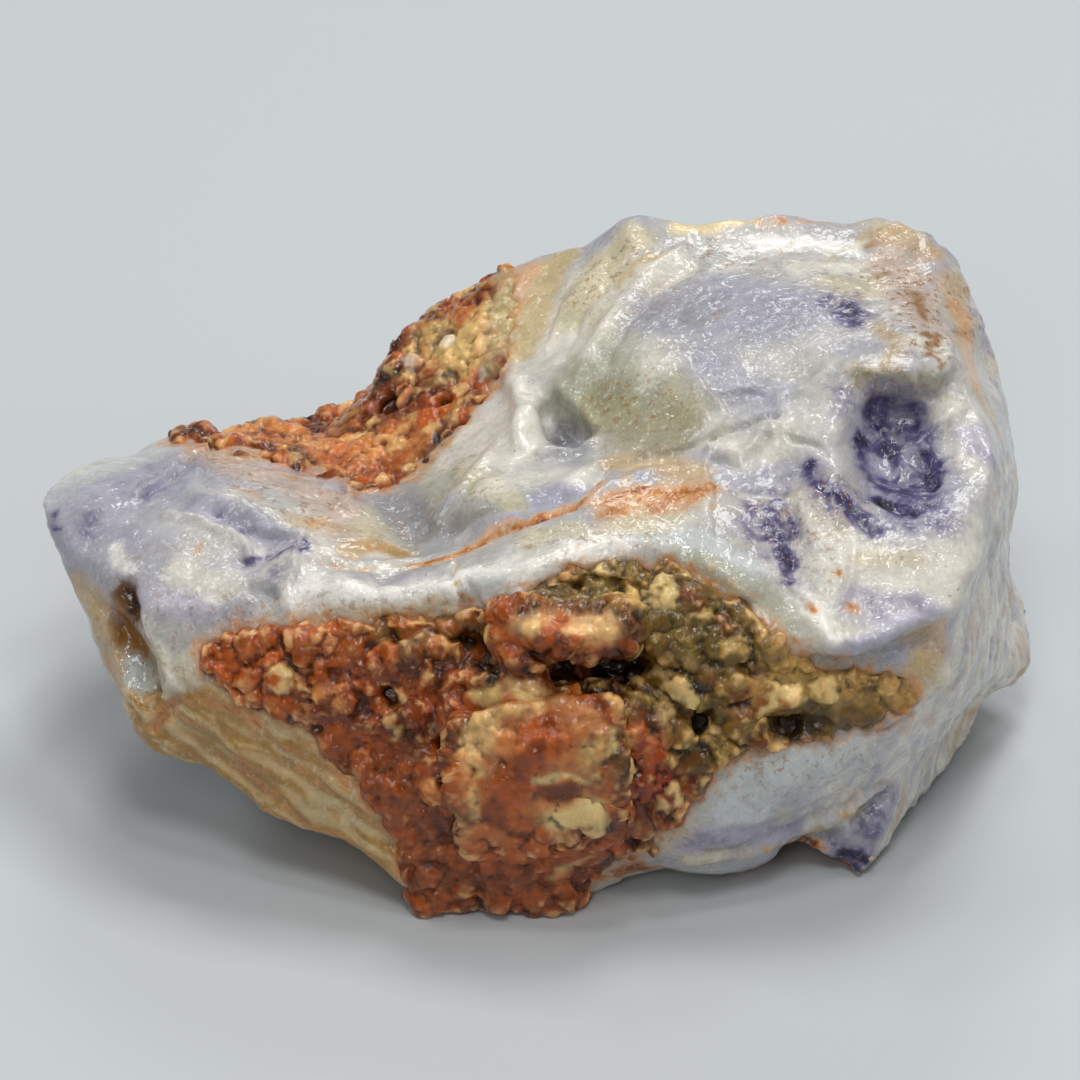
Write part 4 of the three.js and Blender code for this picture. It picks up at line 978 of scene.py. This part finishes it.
def violetMarks(p, tree, ahead):
    # inky clouds with feathered edges
    feathered = p + wobble(p, 2.4, 0.5, 73) + wobble(p, 0.8, 0.14, 74)
    flow = alongFlow(p + wobble(p, 3, 0.6, 75), (0.7, 0.3, -0.65), 4)
    feathers = ease(patches("feathers", flow, 4, 76), -0.35, 0.35)
    violet = gatherStrokes(feathered, tree, violetStrokes) * ahead * (0.62 + 0.5 * feathers)
    return np.maximum(violet, 0.5 * ease(patches("ink", p, 4, 86), 0.25, 0.9) * (1 - ahead))


def rustMarks(p, warped, tree, masks, ahead, layers):
    # iron stain in the cracks, along the rock's edges, in fine threads and in the cream layers
    rock = masks["rock"]
    rust = gatherStrokes(p + wobble(p, 1.6, 0.35, 77), tree, rustStrokes) * ahead * (1 - rock)
    iron = 0.6 * ease(patches("iron", p, 4, 87), 0.38, 0.8) * (1 - ahead) * (1 - rock)
    plane = toFront(warped)[:, :2]
    hostEdge = ease(gapToOutline(plane, hostOutline), -2.4, 0)
    crustEdge = ease(gapToOutline(plane, crustOutline), -1.8, 0)
    edge = np.maximum(hostEdge, crustEdge)
    threads = ease(1 - np.abs(patches("threads", p, 3, 89)) * 3.2, 0, 1)
    bleed = edge * ahead * (1 - rock) * (0.22 * edge + 0.25 * threads)
    layered = masks["cream"] * 0.6 * ease(-layers, 0.15, 0.5)
    return np.maximum.reduce([rust, iron, bleed, 1.6 * rock * (1 - rock), layered])


def paintStone(stone):
    work = Stone(stone.data)
    p = work.points
    tree = treeOf(stone.data)
    masks = regionMasks(p, work.facing)
    rock, cream = masks["rock"], masks["cream"]
    ahead = ease(work.facing, -0.35, 0)
    warped = softEdges(p)
    clouds = patches("clouds", alongFlow(p, (1, 0.3, 0.2), 2), 4, 81)
    skins = patches("skins", p, 4, 82)
    layers = patches("layers", layerFlow(p, 8), 4, 84)
    tintWithPaintedLight = opalTint(p, warped, tree, masks["side"], ahead, clouds, skins)
    tintWithPaintedLight = mix(tintWithPaintedLight, creamTint(layers), cream)
    lumps = lumpCells(p)
    host = hostColours(p, warped, tree, ahead)
    # cream near the lump centres is partly a painted highlight, and dark brown between the lumps is painted
    # shade
    host = mix(host, linear("creamRock"), 0.5 * ease(lumps, 0.35, 0.1) * ease(clouds, -0.2, 0.3))
    host = mix(host, linear("darkBrown"), 0.7 * ease(lumps, 0.48, 0.8))
    keep(stone, "tintWithPaintedLight", mix(tintWithPaintedLight, host, rock))

    specks = np.maximum(gatherStrokes(warped, tree, speckStrokes) * ahead, 0.35 * ease(skins, 0.1, 0.5))
    film = 0.35 + 0.5 * ease(patches("film", p, 3, 88), -0.1, 0.5)
    keep(stone, "violet", violetMarks(p, tree, ahead) * (1 - rock) * (1 - cream))
    keep(stone, "rust", rustMarks(p, warped, tree, masks, ahead, layers))
    keep(stone, "specks", specks * (1 - rock))
    keep(stone, "rock", rock)
    keep(stone, "ripple", np.maximum(gatherStrokes(warped, tree, rippleStrokes), film))
    return masks


def keep(thing, name, values):
    values = np.asarray(values, np.float32)
    if values.ndim == 2:
        colour = np.ones((len(values), 4), np.float32)
        colour[:, :3] = np.clip(values, 0, 1)
        layer = thing.data.attributes.new(name, "FLOAT_COLOR", "POINT")
        layer.data.foreach_set("color", colour.ravel())
    else:
        layer = thing.data.attributes.new(name, "FLOAT", "POINT")
        layer.data.foreach_set("value", np.clip(values, 0, 1))


class Nodes:
    # shorthand for building a finish
    def __init__(self, name):
        self.material = bpy.data.materials.new(name)
        self.material.use_nodes = True
        self.tree = self.material.node_tree
        self.shader = self.tree.nodes["Principled BSDF"]
        self.place = self.add("ShaderNodeTexCoord").outputs["Object"]

    def add(self, kind, **settings):
        node = self.tree.nodes.new(kind)
        for name, value in settings.items():
            setattr(node, name, value)
        return node

    def feed(self, socket, value):
        if isinstance(value, bpy.types.NodeSocket):
            self.tree.links.new(value, socket)
        else:
            socket.default_value = value

    def read(self, name, output="Fac"):
        return self.add("ShaderNodeAttribute", attribute_name=name).outputs[output]

    def noise(self, size, detail, roughness=0.55, distortion=0):
        node = self.add("ShaderNodeTexNoise")
        self.feed(node.inputs["Vector"], self.place)
        node.inputs["Scale"].default_value = 1 / (size * mm)
        node.inputs["Detail"].default_value = detail
        node.inputs["Roughness"].default_value = roughness
        node.inputs["Distortion"].default_value = distortion
        return node.outputs["Fac"]

    def math(self, kind, a, b):
        node = self.add("ShaderNodeMath", operation=kind)
        self.feed(node.inputs[0], a)
        self.feed(node.inputs[1], b)
        return node.outputs[0]

    def span(self, value, low, high, newLow=0.0, newHigh=1.0):
        node = self.add("ShaderNodeMapRange", interpolation_type="SMOOTHSTEP")
        names = ("Value", "From Min", "From Max", "To Min", "To Max")
        for name, given in zip(names, (value, low, high, newLow, newHigh)):
            self.feed(node.inputs[name], given)
        return node.outputs[0]

    def mixed(self, amount, a, b, kind="MIX"):
        node = self.add("ShaderNodeMix", data_type="RGBA", blend_type=kind)
        for name, value in (("Factor_Float", amount), ("A_Color", a), ("B_Color", b)):
            socket = next(s for s in node.inputs if s.identifier == name)
            self.feed(socket, value)
        return next(s for s in node.outputs if s.identifier == "Result_Color")

    def ramp(self, value, stops):
        node = self.add("ShaderNodeValToRGB")
        self.feed(node.inputs["Fac"], value)
        points = node.color_ramp.elements
        while len(points) < len(stops):
            points.new(0.5)
        for point, (position, name) in zip(points, stops):
            point.position = position
            point.color = (*linear(name), 1)
        return node.outputs["Color"]

    def bump(self, height, depth, under=None):
        node = self.add("ShaderNodeBump")
        node.inputs["Strength"].default_value = 1
        node.inputs["Distance"].default_value = depth * mm
        self.feed(node.inputs["Height"], height)
        if under is not None:
            self.feed(node.inputs["Normal"], under)
        return node.outputs["Normal"]


# darkness of the mark and the colour it turns
inkStops = [(0.08, "#a9a6b4"), (0.3, "#868299"), (0.52, "#565179"), (0.75, "#2f2a4c"), (1, "#171426")]
stainStops = [(0.1, "#d9b88e"), (0.4, "#cf9560"), (0.7, "#b3703a"), (1, "#7d4418")]


def drawMarks(n, colour):
    # violet ink, iron stain, ochre flecks and milky veins, each from its own painted values
    ochre, chalk = (*linear("ochre"), 1), (*linear("chalk"), 1)
    streaky = n.noise(surfaceLook["streakSize"], 7, 0.62, 1.4)
    ink = n.math("MULTIPLY", n.read("violet"), n.span(streaky, 0.3, 0.7, 0.7, 1.2))
    colour = n.mixed(n.span(ink, 0.02, 0.6), colour, n.ramp(ink, inkStops))
    blotch = n.noise(surfaceLook["blotchSize"], 6, 0.65, 0.8)
    stain = n.math("MULTIPLY", n.read("rust"), n.span(blotch, 0.32, 0.68, 0.45, 1.4))
    colour = n.mixed(n.span(stain, 0.02, 0.6), colour, n.ramp(stain, stainStops))
    flecks = n.span(n.noise(surfaceLook["fleckSize"], 3, 0.7), 0.54, 0.63)
    colour = n.mixed(n.math("MULTIPLY", n.read("specks"), flecks), colour, ochre)
    dots = n.span(n.noise(surfaceLook["dotSize"], 2, 0.7, 0.6), 0.64, 0.7)
    dots = n.math("MULTIPLY", dots, n.span(n.noise(surfaceLook["dotSpread"], 3), 0.5, 0.6))
    colour = n.mixed(n.math("MULTIPLY", dots, 0.75), colour, ochre)
    veins = n.span(n.noise(surfaceLook["veinSize"], 5, 0.6, 2.2), 0.56, 0.72)
    opal = n.math("MULTIPLY", n.math("SUBTRACT", 1.0, n.read("rock")), 0.35)
    return n.mixed(n.math("MULTIPLY", veins, opal), colour, chalk)


def wetStone(name, withMarks):
    n = Nodes(name)
    look = surfaceLook
    colour = n.read("tintWithPaintedLight", "Color")
    if withMarks:
        colour = drawMarks(n, colour)
    mottle = n.noise(look["mottleSize"], 6, 0.6, 0.6)
    grain = n.noise(look["grainSize"], 4, 0.6)
    shade = n.math("ADD", n.span(mottle, 0.3, 0.7, 0.86, 1.1), n.span(grain, 0.3, 0.7, -0.06, 0.06))
    tone = n.add("ShaderNodeCombineColor")
    for channel in tone.inputs:
        n.feed(channel, shade)
    shader = n.shader.inputs
    n.feed(shader["Base Color"], n.mixed(1.0, colour, tone.outputs[0], "MULTIPLY"))
    n.feed(shader["Roughness"], n.span(mottle, 0.3, 0.7, 0.3, 0.48))
    shader["Subsurface Weight"].default_value = look["milkiness"]
    shader["Subsurface Radius"].default_value = (1, 0.85, 0.8)
    shader["Subsurface Scale"].default_value = look["milkDepth"] * mm
    shader["Coat Weight"].default_value = look["wetCoat"]
    shader["Coat Roughness"].default_value = look["coatRoughness"]
    shader["Coat IOR"].default_value = look["coatIor"]
    shader["Specular IOR Level"].default_value = look["drySpecular"]
    coarse = n.bump(n.noise(look["coarseSize"], 4, 0.55, 0.4), look["coarseDepth"])
    n.feed(shader["Normal"], n.bump(n.noise(look["fineSize"], 4, 0.6), look["fineDepth"], coarse))
    wavelets = n.noise(look["filmSize"], 2, 0.45, 1)
    if withMarks:
        wavelets = n.math("MULTIPLY", wavelets, n.read("ripple"))
    n.feed(shader["Coat Normal"], n.bump(wavelets, look["filmDepth"]))
    return n.material


masks = paintStone(stone)
stone.data.materials.clear()
stone.data.materials.append(wetStone("wet opal and host rock", True))
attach(stone, "root")
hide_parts("opal_stone")
print("painted the stone")

# Lumpy host rock: sizes, steps and thickness are in mm, and a hole is a place and a half width.
# "tall" and "stain" scale the lumps' height and the iron stain.
shellSets = {
    "host_rock": {
        "region": "host", "lumps": 1500, "sizes": (0.26, 0.95), "tall": 1, "stain": 0.5, "seed": 3,
        "holes": [
            (-3.4, -7.2, 0.8), (-5.6, -12.4, 0.6), (-9, -9.4, 0.5), (9.6, -11, 0.7), (15, -11, 0.7),
            (4.4, -9.6, 0.6),
        ],
        "skinStep": 0.13, "thickness": 0.9, "triangles": 190000,
    },
    "crust_rock": {
        "region": "crust", "lumps": 700, "sizes": (0.26, 0.85), "tall": 0.6, "stain": 0.22, "seed": 5,
        "holes": [(-9.1, 8.2, 0.7), (-5.8, 8.4, 0.4)],
        "skinStep": 0.12, "thickness": 0.8, "triangles": 150000,
    },
    "back_rock": {
        "region": "back", "lumps": 1300, "sizes": (0.4, 1.3), "tall": 0.8, "stain": 0.5, "seed": 7,
        "holes": [],
        "skinStep": 0.17, "thickness": 1, "triangles": 150000,
    },
}

# each lump is a turned, stretched dome; a low shoulder makes it blocky
lumpForm = {
    "spacing": 0.62,  # least gap between two lumps, as a part of their sizes
    "stretch": (0.75, 1.35),
    "tall": (0.45, 1.1),
    "shoulder": (0.35, 0.75),
    "reach": 1.15,
}
fewestPoints = 700  # a smaller scrap of rock skin is dropped
# how far each coat of colour takes over; the pale edge coat is pale colour with a painted highlight on
# raised points, and the gap and hole coats are painted shade
lumpLook = {
    "crown": 0.7,
    "paleCrownAndHighlight": 0.65,
    "gap": 0.88,
    "hole": 0.9,
    "richness": 0.7,
    "peachBorder": 0.45,
}

# what the lumps are made of, from left to right across the face
lumpColours = {
    "rusty": [
        "rustOrange", "#a3562c", "rustBrown", "peachRock", "#c98a5c", "creamRock", "pinkBrown", "#8a4a2a",
    ],
    "olive": ["creamRock", "sand", "cream", "#8f7a45", "olive", "olive", "#9c8248", "rustBrown", "#7a6432"],
    "crust": [
        "rustOrange", "peachRock", "peachCream", "creamRock", "cream", "cream", "#b0703c", "creamRock",
    ],
}

# lumps that are big enough to be set one by one: place, half width, colour
markedLumps = {
    "host_rock": [
        (-17, -6, 1.3, "pinkBrown"), (-14, -6.1, 1.2, "pinkBrown"), (-15.6, -8.3, 0.9, "cream"),
        (-11.4, -6.6, 1.1, "#9a6a44"), (-9.4, -5.6, 0.9, "#8f6a48"), (-12.2, -9.6, 0.9, "peachRock"),
        (-18.4, -7, 0.8, "rustOrange"), (-7.4, -6.4, 0.9, "#8a6a4a"), (-9, -11, 0.9, "creamRock"),
        (7.4, -3.4, 1.2, "cream"), (5.6, -2.6, 0.9, "sand"), (9.6, -4.8, 1.1, "creamRock"),
        (11.6, -6.6, 1, "sand"),
        (8.6, -9, 1.1, "cream"), (7.4, -10.6, 1, "creamRock"), (12.8, -8.6, 1, "sand"),
        (10.9, -9.9, 0.9, "#9c8248"),
        (6.4, -12.4, 0.8, "peachRock"), (14.6, -8.2, 0.9, "sand"), (6.8, -6, 0.9, "#9c8248"),
        (9.2, -7, 0.8, "cream"), (3.6, -3, 0.8, "#8f7a45"), (2.4, -16.6, 1.2, "cream"),
        (4.6, -16, 0.8, "creamRock"),
    ],
    "crust_rock": [
        (-5.6, 11.6, 1, "cream"), (-4, 12.6, 1, "creamRock"), (-6.6, 10.4, 0.9, "cream"),
        (-3.4, 10.4, 0.8, "creamRock"),
        (-9.8, 9, 0.9, "peachRock"), (-11.4, 7.4, 0.8, "creamRock"), (-13.6, 6, 0.9, "rustOrange"),
        (-7.8, 10.6, 0.7, "chalk"), (-2.6, 11.8, 0.8, "cream"), (-4.8, 9, 0.7, "cream"),
        (-1.8, 13.4, 0.8, "cream"),
    ],
    "back_rock": [],
}

# strength, half width, line: rock that is mostly bare of lumps
bareRock = [
    (0.55, 2.4, [(-12, -13), (-9.4, -14.4), (-7.4, -17.4), (-6.8, -20)]),
    (0.75, 3, [(-1.8, -12.6), (0.8, -12.4), (0.4, -14.6), (-1.6, -15.6)]),
    (0.85, 1.1, [(-3.8, -9.8), (-0.4, -9.2), (3, -10.4)]),
    (1, 1.6, [(-1, -5.6), (1.6, -5.4), (4, -5.7)]),
    (1, 0.7, [(-9.1, 8.2), (-8.9, 8)]),
    (0.75, 1.2, [(-3, 9.6), (-2.1, 12.6), (-1.9, 16)]),
    (0.6, 0.8, [(-12.6, 4.6), (-10, 4), (-8, 5)]),
    (0.95, 1.3, [(1.4, -7.6), (3.6, -7.6), (6, -8)]),
    (0.8, 1, [(-4.4, -6), (-3, -7)]),
    (0.7, 1.2, [(14.6, -10.8), (17, -10.8), (21, -10.2)]),
    (0.5, 2, [(-4, -20), (0, -20), (4, -19)]),
]


def bareness(points, tree):
    bare = np.zeros(len(points))
    for strength, width, spots in bareRock:
        gap = gapToLine(points, ontoStone(tree, spots))
        bare = np.maximum(bare, strength * (1 - ease(gap, width * 0.6, width * 1.3)))
    return bare


def dropScraps(work):
    seen = set()
    for start in list(work.verts):
        if start in seen:
            continue
        seen.add(start)
        island, edge = [start], [start]
        while edge:
            for link in edge.pop().link_edges:
                for vert in link.verts:
                    if vert not in seen:
                        seen.add(vert)
                        island.append(vert)
                        edge.append(vert)
        if len(island) < fewestPoints:
            bmesh.ops.delete(work, geom=island, context="VERTS")


def cutShell(name, setup, mask):
    # a skin for the rock, copied off the stone, given a back and an even mesh
    shell = bpy.data.objects.new(name, stone.data.copy())
    bpy.context.collection.objects.link(shell)
    shell.data.materials.clear()
    work = bmesh.new()
    work.from_mesh(shell.data)
    work.verts.ensure_lookup_table()
    outside = [vert for vert, amount in zip(work.verts, mask) if amount <= 0.15]
    bmesh.ops.delete(work, geom=outside, context="VERTS")
    dropScraps(work)
    work.to_mesh(shell.data)
    work.free()
    back = shell.modifiers.new("back", "SOLIDIFY")
    back.thickness = setup["thickness"] * mm
    back.offset = -1
    even = shell.modifiers.new("even", "REMESH")
    even.mode = "VOXEL"
    even.voxel_size = setup["skinStep"] * mm
    bakeModifiers(shell)
    return shell


def placeLumps(name, setup, work, weight, tree):
    draw = np.random.default_rng(setup["seed"])
    spots, sizes, own = [np.array([0, 0, -99.0])], [0.1], [linear("rustBrown")]
    for u, v, size, colour in markedLumps[name]:
        spots.append(ontoStone(tree, [(u, v)])[0])
        sizes.append(size)
        own.append(linear(colour))
    low, high = setup["sizes"]
    picks = draw.choice(len(work.points), setup["lumps"] * 3, p=weight / weight.sum())
    scale = low + (high - low) * np.sort(draw.random(len(picks)) ** 2)[::-1]
    for index, size in zip(picks, scale):
        if len(spots) >= setup["lumps"]:
            break
        place = work.points[index]
        gap = np.linalg.norm(np.array(spots) - place, axis=1)
        if np.any(gap < lumpForm["spacing"] * (np.array(sizes) + size)):
            continue
        u, v = work.front[index, :2]
        kind = "crust" if name != "host_rock" else "olive" if u > -1.5 - 0.45 * (v + 4) else "rusty"
        spots.append(place)
        sizes.append(size)
        own.append(linear(lumpColours[kind][draw.integers(len(lumpColours[kind]))]))
    return np.array(spots), np.array(sizes), np.array(own)


def indexOf(places):
    index = KDTree(len(places))
    for k, place in enumerate(places):
        index.insert(place, k)
    index.balance()
    return index


def tintAround(points):
    # the colour of the stone nearest each point
    verts = readPoints(stone.data)
    index = indexOf(verts)
    tintWithPaintedLight = np.empty(len(verts) * 4, np.float32)
    stone.data.attributes["tintWithPaintedLight"].data.foreach_get("color", tintWithPaintedLight)
    return tintWithPaintedLight.reshape(-1, 4)[[index.find(q)[1] for q in points], :3]


def domesOver(p, spots, sizes, seed):
    # each point rises with the lump that reaches it best: gives its height and which lump that is
    index = indexOf(spots)
    draw = np.random.default_rng(seed)
    turns = np.linalg.qr(draw.normal(size=(len(spots), 3, 3)))[0]
    turns /= draw.uniform(*lumpForm["stretch"], (len(spots), 1, 3))
    tall = draw.uniform(*lumpForm["tall"], len(spots))
    shoulder = draw.uniform(*lumpForm["shoulder"], len(spots))
    warped = p + wobble(p, 1.1, 0.42, 94) + wobble(p, 0.45, 0.17, 95)
    near = np.array([[hit[1] for hit in index.find_n(q, 6)] for q in warped])
    reach = np.einsum("nki,nkij->nkj", spots[near] - warped[:, None, :], turns[near])
    reach = np.linalg.norm(reach, axis=2) / (sizes[near] * lumpForm["reach"])
    domes = np.maximum(1 - reach ** 2, 0) ** shoulder[near] * sizes[near] * tall[near]
    best = np.argmax(domes - 0.05 * reach, axis=1)
    rows = np.arange(len(p))
    return domes[rows, best], near[rows, best]


def holesIn(p, setup, tree):
    hole = np.zeros(len(p))
    for u, v, size in setup["holes"]:
        gap = np.linalg.norm(p + wobble(p, 0.8, 0.2, 90) - ontoStone(tree, [(u, v)])[0], axis=1)
        hole = np.maximum(hole, np.exp(-(gap / size) ** 2))
    return hole


def standsProud(work, height):
    # how far each point stands above the ones around it
    level = height[:, None]
    for _ in range(14):
        level = work.around(level)
    return (height - level[:, 0]) / 0.16


def lumpColoursWithPaintedLight(work, setup, tree, own, dome, proud, pits, bare, border, hole):
    # rock, then its lumps, iron stain, pale crowns that are partly a painted highlight on raised points,
    # painted shade in the gaps and holes, and the stone's own colour at the border
    p = work.points
    colours = hostColours(p, softEdges(p), tree, ease(work.facing, -0.35, 0))
    fleck = roughNoise(p, 1, 4, 98)
    colours = mix(colours, own, lumpLook["crown"] * ease(dome, 0.2, 0.75) * ease(fleck, -0.35, 0.15))
    stain = ease(roughNoise(p, 1.7, 4, 91), 0.05, 0.4) * ease(-toFront(p)[:, 0], -7, 0)
    colours = mix(colours, linear("rustOrange"), setup["stain"] * stain)
    # pale colour with a painted highlight on the points that stand proud of those around them
    pale = linear("peachRock") * 0.4 + linear("cream") * 0.6
    edges = (1 - bare) * ease(proud, 0.25, 1) * ease(fleck, -0.15, 0.25)
    colours = mix(colours, pale, lumpLook["paleCrownAndHighlight"] * edges)
    # painted shade: low points between the lumps and sunken points turn dark
    low = ease(dome + 0.5 * (0.6 - pits), 0.46, 0.08)
    gap = np.maximum(low * (1 - 0.8 * bare), ease(proud, -0.2, -1))
    gap *= ease(border, 0.3, 0.95) * ease(roughNoise(p, 1.3, 3, 99), -0.7, -0.05)
    colours = mix(colours, colours * 0.12 + linear("darkBrown") * 0.3, lumpLook["gap"] * gap)
    # painted shade: the holes turn dark brown
    colours = mix(colours, linear("darkBrown") * 0.3, lumpLook["hole"] * ease(hole, 0.25, 0.6))
    colours = richer(colours, lumpLook["richness"])
    stained = mix(tintAround(p), linear("peachRock"), np.full(len(p), lumpLook["peachBorder"]))
    return mix(stained, colours, ease(border + 0.25 * roughNoise(p, 0.8, 3, 93), 0.05, 0.6))


def growLumps(name, setup, mask):
    shell = cutShell(name, setup, mask)
    work = Stone(shell.data)
    work.relax(2, 0.5)
    tree = treeOf(stone.data)
    p = work.points
    onTop = np.array([tree.find_nearest(Vector(q))[3] for q in p]) < setup["thickness"] * 0.45
    border = ease(regionMasks(p, work.facing)[setup["region"]], 0.25, 1) * onTop
    bare = bareness(p, tree) * (work.facing > -0.3)
    weight = (border > 0.2) * (1 - bare)
    spots, sizes, own = placeLumps(name, setup, work, weight, tree)
    dome, lump = domesOver(p, spots, sizes, setup["seed"] + 50)
    pits = cellNoise(p + wobble(p, 0.5, 0.12, 96), 0.62, 9)[0]
    grit = 0.15 * (0.6 - pits) + 0.14 * roughNoise(p, 0.9, 4, 97)
    hole = holesIn(p, setup, tree)
    dome *= (1 - 0.85 * bare) * (1 - hole)
    height = border * (0.1 + dome * setup["tall"] + grit) - onTop * (0.3 * (1 - border) + 1.2 * hole)
    proud = standsProud(work, height)
    work.swell(height)
    withinBox(work.points)
    work.relax(1, 0.35)
    keep(shell, "tintWithPaintedLight", lumpColoursWithPaintedLight(work, setup, tree, own[lump], dome, proud, pits, bare, border, hole))
    for face in shell.data.polygons:
        face.use_smooth = True
    thin(shell, setup["triangles"])
    shell.data.materials.append(rockFinish)
    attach(shell, "root")
    print(name + ":", len(spots), "lumps,", countTriangles(shell), "triangles")


rockFinish = wetStone("wet host rock", False)
for name, setup in shellSets.items():
    growLumps(name, setup, masks[setup["region"]])

# the stone itself sinks below its crusts
work = Stone(stone.data)
covered = np.maximum.reduce([masks[setup["region"]] for setup in shellSets.values()])
work.swell(-0.5 * ease(covered, 0.6, 1))
work.points[:, 2] = np.maximum(work.points[:, 2], floorGap)
work.refresh()

stage = {
    "floorHalf": 4,  # m
    "floorColour": "#c3c8cb",
    "floorRoughness": 0.5,
    "floorGloss": 0.2,
    "roomColour": "#f3f2ef",
    "roomStrength": 0.15,
    "lampsAim": 0.01,  # m above the floor
    "sensor": 36,  # mm
}

# place and width in m, power in W
lamps = {
    "overhead": {"place": (0.12, 0.22, 0.6), "width": 0.2, "power": 1.45},
    "top spot": {"place": (0.03, -0.04, 0.55), "width": 0.06, "power": 0.25},
    "front spot": {"place": (0.02, -0.22, 0.5), "width": 0.15, "power": 0.65},
    "back window": {"place": (0.03, 0.7, 0.52), "width": 0.2, "power": 0.88},
    "right fill": {"place": (0.5, -0.12, 0.28), "width": 0.3, "power": 0.4},
    "right spot": {"place": (0.3, 0.05, 0.5), "width": 0.06, "power": 0.15},
    "back spot": {"place": (-0.12, 0.3, 0.5), "width": 0.07, "power": 0.2},
    "left strip": {"place": (-0.4, 0.06, 0.4), "width": 0.14, "power": 0.35},
    "front fill": {"place": (-0.1, -0.6, 0.5), "width": 0.26, "power": 0.7},
}

floorMesh = bpy.data.meshes.new("floor")
far = stage["floorHalf"]
floorMesh.from_pydata([(-far, -far, 0), (far, -far, 0), (far, far, 0), (-far, far, 0)], [], [(0, 1, 2, 3)])
floor = bpy.data.objects.new("floor", floorMesh)
bpy.context.collection.objects.link(floor)
tray = bpy.data.materials.new("pale tray")
tray.use_nodes = True
trayShader = tray.node_tree.nodes["Principled BSDF"].inputs
trayShader["Base Color"].default_value = (*linear(stage["floorColour"]), 1)
trayShader["Roughness"].default_value = stage["floorRoughness"]
trayShader["Specular IOR Level"].default_value = stage["floorGloss"]
floorMesh.materials.append(tray)

room = bpy.data.worlds.new("room")
bpy.context.scene.world = room
room.use_nodes = True
roomLight = room.node_tree.nodes["Background"].inputs
roomLight["Color"].default_value = (*linear(stage["roomColour"]), 1)
roomLight["Strength"].default_value = stage["roomStrength"]

for name, lamp in lamps.items():
    light = bpy.data.lights.new(name, "AREA")
    light.size = lamp["width"]
    light.energy = lamp["power"]
    holder = bpy.data.objects.new(name, light)
    holder.location = lamp["place"]
    beam = Vector((0, 0, stage["lampsAim"])) - holder.location
    holder.rotation_euler = beam.to_track_quat("-Z", "Y").to_euler()
    bpy.context.collection.objects.link(holder)

camera = bpy.data.objects.new("camera", bpy.data.cameras.new("camera"))
bpy.context.collection.objects.link(camera)
camera.data.sensor_width = stage["sensor"]
camera.data.lens = stage["sensor"] * front["distance"] / (front["width"] * mm)
camera.location = Vector(frontOrigin * mm) + Vector(frontAxes[2]) * front["distance"]
camera.rotation_euler = Vector(frontAxes[2]).to_track_quat("Z", "Y").to_euler()
camera.data.clip_start, camera.data.clip_end = 0.1, 20
bpy.context.scene.camera = camera
bpy.context.scene.view_settings.view_transform = "Standard"
print("stage is set")
